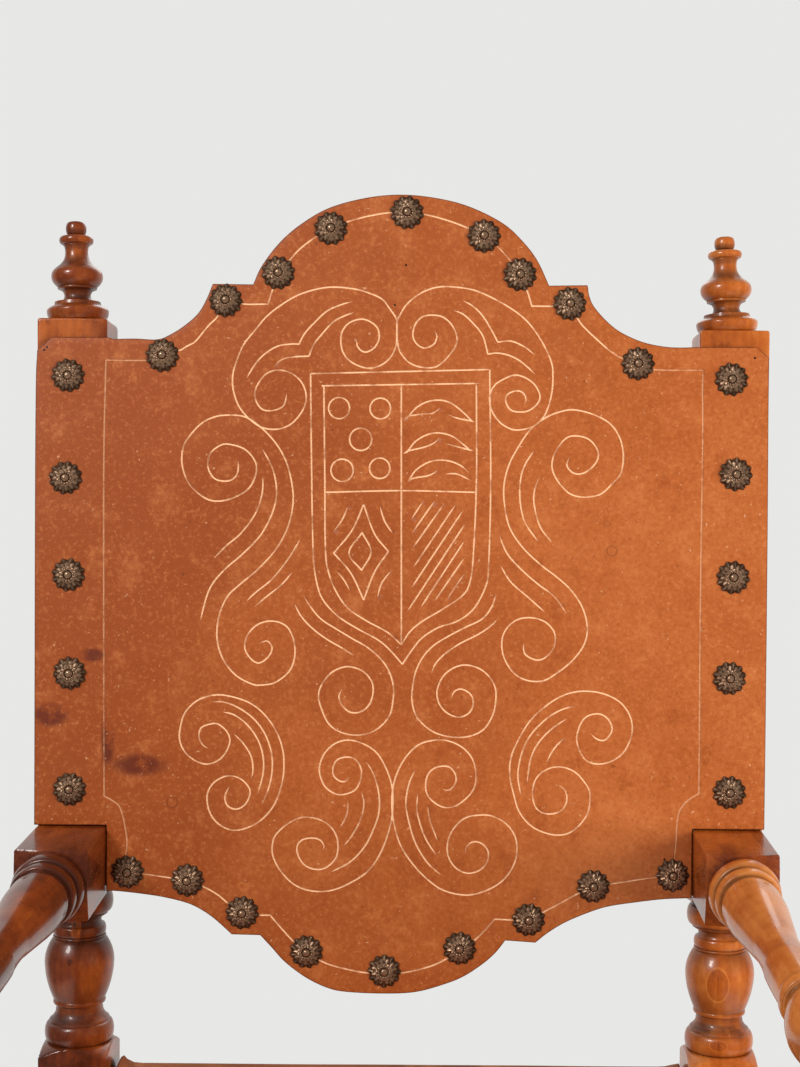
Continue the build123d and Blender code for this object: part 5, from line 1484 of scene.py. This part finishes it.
def nail_tree_group():
    """Puts a rosette on each point, turned at random round its own axis and leaning a little."""
    tree = bpy.data.node_groups.new("rosette_nails", "GeometryNodeTree")
    sockets = (
        ("Geometry", "NodeSocketGeometry"), ("Rosette", "NodeSocketObject"), ("Seed", "NodeSocketInt"),
        ("Lean", "NodeSocketFloat"), ("Finish", "NodeSocketMaterial"),
    )
    for label, kind in sockets:
        tree.interface.new_socket(label, in_out="INPUT", socket_type=kind)
    tree.interface.new_socket("Geometry", in_out="OUTPUT", socket_type="NodeSocketGeometry")
    given = put(tree, "NodeGroupInput").outputs
    head = put(tree, "GeometryNodeObjectInfo", {"Object": given["Rosette"]}, transform_space="ORIGINAL")
    facing = put(tree, "GeometryNodeInputNamedAttribute", {"Name": "facing"}, data_type="FLOAT_VECTOR")
    aim = put(tree, "FunctionNodeAlignRotationToVector", {"Vector": facing.outputs[0]}, axis="Z")
    set_down = put(
        tree, "GeometryNodeInstanceOnPoints",
        {"Points": given["Geometry"], "Instance": head.outputs["Geometry"], "Rotation": aim.outputs[0]},
    )
    spin = put(tree, "FunctionNodeRandomValue", {"Seed": given["Seed"]}, data_type="FLOAT_VECTOR")
    back = times(given["Lean"], -1.0)
    least = put(tree, "ShaderNodeCombineXYZ", {"X": back, "Y": back, "Z": 0.0})
    largest = put(tree, "ShaderNodeCombineXYZ", {"X": given["Lean"], "Y": given["Lean"], "Z": 2 * pi})
    tree.links.new(least.outputs[0], spin.inputs[0])
    tree.links.new(largest.outputs[0], spin.inputs[1])
    turned_heads = put(
        tree, "GeometryNodeRotateInstances",
        {"Instances": set_down.outputs[0], "Rotation": spin.outputs[0], "Local Space": True},
    )
    real = put(tree, "GeometryNodeRealizeInstances", {"Geometry": turned_heads.outputs[0]})
    finished = put(
        tree, "GeometryNodeSetMaterial", {"Geometry": real.outputs[0], "Material": given["Finish"]}
    )
    put(tree, "NodeGroupOutput", {"Geometry": finished.outputs[0]})
    return tree


nail_nodes = nail_tree_group()
nail_lean = radians(2)  # at the most


def after_modifiers(holder):
    """An object's mesh after its modifiers. The object itself goes."""
    evaluated = holder.evaluated_get(bpy.context.evaluated_depsgraph_get())
    mesh = bpy.data.meshes.new_from_object(evaluated)
    bpy.data.objects.remove(holder)
    return mesh


def rosette_nails(name, places, seed):
    """A mesh of rosette nails at the given places."""
    mesh = bpy.data.meshes.new(name)
    mesh.from_pydata([tuple(p) for p, _ in places], [], [])
    mark_points(mesh, "facing", [tuple(n) for _, n in places], "FLOAT_VECTOR", "vector")
    holder = placed(name + "_points", mesh)
    modifier = holder.modifiers.new("rosettes", "NODES")
    modifier.node_group = nail_nodes
    settings = {"Rosette": rosette, "Seed": seed, "Lean": nail_lean, "Finish": brass_finish}
    for item in nail_nodes.interface.items_tree:
        if item.in_out == "INPUT" and item.name in settings:
            modifier[item.identifier] = settings[item.name]
    return placed(name, after_modifiers(holder))


back_nails = rosette_nails("rosette_nails_back", back_places, 4)
dress(back_nails, "back_nails")

# Seat hide and its lining
# A plain hide slung between the rails over a thin lining, turned down over each rail and cut
# round the four legs. It sags from use, and its rear corners have curled up beside the posts.
seat_low, seat_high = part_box("seat_leather")
lining_low, lining_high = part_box("seat_lining")
seat_bend = 7 * mm
bend_steps = 6
seat_hide_thick = 4 * mm
seat_lining_thick = 1.5 * mm
seat_sag = 14 * mm
curl_heights = (14 * mm, 8 * mm)  # of the rear corners beside the left and the right post
curl_wide, curl_long = 15 * mm, 24 * mm
seat_step = 7 * mm
seat_ease_share = 0.22
seat_middle_y = (front_y + rear_y) / 2
seat_inner_x = notch_half
seat_inner_y = (rear_y - front_y) / 2 - half_stock - notch_clear


def bent_path(inner, outer, drop):
    """A path across the sheet and down over one edge: how far out, how far down, and the way it
    faces, from a flat start at inner to the flap's foot."""
    flat_end = outer - (seat_bend if drop else 0)
    steps = max(1, round((flat_end - inner) / seat_step))
    path = [(inner + (flat_end - inner) * i / steps, 0, 0) for i in range(steps)]
    if not drop:
        return path + [(outer, 0, 0)]
    path += [
        (flat_end + seat_bend * sin(a), seat_bend * (1 - cos(a)), a)
        for a in (pi / 2 * i / bend_steps for i in range(bend_steps + 1))
    ]
    steps = max(1, round((drop - seat_bend) / seat_step))
    path += [(outer, seat_bend + (drop - seat_bend) * (i + 1) / steps, pi / 2) for i in range(steps)]
    return path


def slung_sheet(name, half_x, half_y, top, thick, drop, waves):
    """The plus-shaped sheet: a middle that sags, and four flaps turned down over the rails."""
    inner_x = np.linspace(-seat_inner_x, seat_inner_x, 2 * round(seat_inner_x / seat_step) + 1)
    inner_y = np.linspace(-seat_inner_y, seat_inner_y, 2 * round(seat_inner_y / seat_step) + 1)
    over_x = bent_path(seat_inner_x, half_x, drop)
    over_y = bent_path(seat_inner_y, half_y, drop)
    columns = [(-o, d, -a) for o, d, a in reversed(over_x[1:])] + [(x, 0, 0) for x in inner_x] + over_x[1:]
    rows = [(-o, d, -a) for o, d, a in reversed(over_y[1:])] + [(y, 0, 0) for y in inner_y] + over_y[1:]
    first_x, first_y = len(over_x) - 1, len(over_y) - 1
    last_x, last_y = first_x + len(inner_x) - 1, first_y + len(inner_y) - 1
    shape = bmesh.new()
    edge_layer = shape.verts.layers.float.new("edge")
    made = {}
    for i, (x, drop_x, turn_x) in enumerate(columns):
        for j, (y, drop_y, turn_y) in enumerate(rows):
            middle_x, middle_y = first_x <= i <= last_x, first_y <= j <= last_y
            if not (middle_x or middle_y):
                continue
            share_x = max(0, 1 - (x / seat_inner_x) ** 2)
            share_y = max(0, 1 - (y / seat_inner_y) ** 2)
            sag = seat_sag * (share_x * share_y) ** 0.6 if middle_x and middle_y else 0
            ripple = waves * noise.noise(Vector((x * 11, y * 11, 2.2)))
            near = max(0, 1 - (seat_inner_x - abs(x)) / curl_wide)
            near *= max(0, 1 - abs(y - seat_inner_y - curl_long) / curl_long)
            curl = curl_heights[int(x > 0)] * near ** 0.8 if waves and middle_x else 0
            inward = copysign(0.7 * curl, x)
            drop = drop_x + drop_y
            height = top - drop - sag + ripple * (0.4 if drop else 1) + curl
            lean = ripple * 1.5 * min(1, drop / seat_flap)
            made[i, j] = shape.verts.new((
                x - inward + (lean if turn_x > 0 else -lean if turn_x < 0 else 0),
                seat_middle_y + y + (lean if turn_y > 0 else -lean if turn_y < 0 else 0), height,
            ))
    for i in range(len(columns) - 1):
        for j in range(len(rows) - 1):
            corners = [made.get(k) for k in ((i, j), (i + 1, j), (i + 1, j + 1), (i, j + 1))]
            if all(corners):
                shape.faces.new(corners)
    for edge in shape.edges:
        if edge.is_boundary:
            for vertex in edge.verts:
                vertex[edge_layer] = 1
    bmesh.ops.recalc_face_normals(shape, faces=shape.faces)
    if sum(face.normal.z for face in shape.faces) < 0:
        bmesh.ops.reverse_faces(shape, faces=shape.faces)
    mesh = bpy.data.meshes.new(name)
    shape.to_mesh(mesh)
    shape.free()
    sheet = placed(name, mesh)
    wall = sheet.modifiers.new("thickness", "SOLIDIFY")
    wall.thickness = thick
    wall.offset = -1
    wall.use_even_offset = True
    ease = sheet.modifiers.new("eased_edges", "BEVEL")
    ease.width = thick * seat_ease_share
    ease.segments = 2
    ease.angle_limit = radians(50)
    return finish_mesh(name, after_modifiers(sheet), radians(45))


seat_flap = 50 * mm
seat_wave = 1.0 * mm
half_x, half_y = (lining_high.x - lining_low.x) / 2, (lining_high.y - lining_low.y) / 2
seat_lining = slung_sheet(
    "slung_seat_lining", half_x, half_y, rail_top + seat_lining_thick, seat_lining_thick, 0, 0
)
dress(seat_lining, "seat_lining", flesh_finish)
half_x, half_y = (seat_high.x - seat_low.x) / 2, (seat_high.y - seat_low.y) / 2
seat_drop = seat_high.z - seat_low.z
seat = slung_sheet("slung_seat_hide", half_x, half_y, seat_high.z, seat_hide_thick, seat_drop, seat_wave)
seat_finish = plain_leather("seat_hide", (0.20, 0.050, 0.014), (0.36, 0.105, 0.032), (0.48, 0.17, 0.065))
dress(seat, "seat_leather", seat_finish)

# Seat nails
# The same rosettes as on the back, driven through the turned-down edges into the rails.
seat_nails = rosette_nails("rosette_nails_seat", nail_places("seat_nails", nail_height), 9)
dress(seat_nails, "seat_nails")
bpy.data.objects.remove(rosette)

# Floor, light and camera
# The chair stands on a plain pale floor. The key light comes from the upper left, and a broad
# soft one from the right fills it up. The camera looks almost square at the leaning back.
floor_half = 6.0
floor_mesh = bpy.data.meshes.new("studio_floor")
floor_mesh.from_pydata(
    [(x * floor_half, y * floor_half, 0) for x, y in ((-1, -1), (1, -1), (1, 1), (-1, 1))], [], [(0, 1, 2, 3)]
)
floor = placed("studio_floor", floor_mesh)
floor_finish, floor_tree, floor_shader, floor_place = new_material("studio_floor")
floor_shader.inputs["Base Color"].default_value = (0.78, 0.77, 0.75, 1)
floor_shader.inputs["Roughness"].default_value = 0.7
fade_start, fade_end = 0.75, 1.25  # the floor fades into the backdrop at this distance
floor_tree.links.new(between(length_of(floor_place), fade_end, fade_start), floor_shader.inputs["Alpha"])
floor_mesh.materials.append(floor_finish)

world = bpy.data.worlds.new("studio")
bpy.context.scene.world = world
world.use_nodes = True
sky = world.node_tree
sky.nodes.clear()
ray = put(sky, "ShaderNodeLightPath").outputs
seen = most(ray["Is Camera Ray"], ray["Is Transmission Ray"])
wall = put(sky, "ShaderNodeBackground", {"Color": (0.80, 0.80, 0.79, 1), "Strength": 1.0})
ahead_of_camera = put(sky, "ShaderNodeTexCoord").outputs["Generated"]
behind = between(part_of(ahead_of_camera, "Y"), 0.1, 0.6)
room = plus(times(behind, 0.6), 0.12)  # what the varnish mirrors: a dim room,
shine = times(ray["Is Glossy Ray"], less(room, 0.42))  # and the pale wall
strength = plus(shine, 0.42)
fill = put(sky, "ShaderNodeBackground", {"Color": (1.0, 0.98, 0.95, 1), "Strength": strength})
both = put(sky, "ShaderNodeMixShader", {0: seen, 1: fill.outputs[0], 2: wall.outputs[0]})
put(sky, "ShaderNodeOutputWorld", {"Surface": both.outputs[0]})


def soft_lamp(name, place, target, size, power, colour, mirrored=True):
    """A square area lamp that points at a place. Only a mirrored one shows in the varnish."""
    light = bpy.data.lights.new(name, "AREA")
    light.shape = "RECTANGLE"
    light.size, light.size_y = size
    light.energy = power
    light.color = colour
    lamp = placed(name, light)
    lamp.location = place
    lamp.visible_glossy = mirrored
    lamp.rotation_euler = (Vector(target) - Vector(place)).to_track_quat("-Z", "Y").to_euler()


chair_middle = (0, 0.1, 0.85)
soft_lamp("key_lamp", (-1.4, -1.4, 2.2), chair_middle, (0.5, 0.8), 32, (1.0, 0.98, 0.95))
soft_lamp("fill_lamp", (1.8, -1.2, 1.0), chair_middle, (1.2, 1.2), 46, (1.0, 0.97, 0.93), False)
soft_lamp("rear_lamp", (0.3, 2.2, 2.2), chair_middle, (1.6, 1.2), 10, (1.0, 0.98, 0.96))

turn = Matrix((right, up, toward)).transposed().to_4x4()
camera_data = bpy.data.cameras.new("photo_camera")
camera_data.sensor_fit = "VERTICAL"
camera_data.sensor_height = 36
camera_data.lens = camera_data.sensor_height * focal_pixels / photo_height
camera_data.shift_x = (photo_width / 2 - principal_x) / photo_height
camera_data.shift_y = (principal_y - photo_height / 2) / photo_height
camera = placed("photo_camera", camera_data)
camera.matrix_world = Matrix.Translation(stand) @ turn
bpy.context.scene.camera = camera
bpy.context.scene.view_settings.view_transform = "Standard"
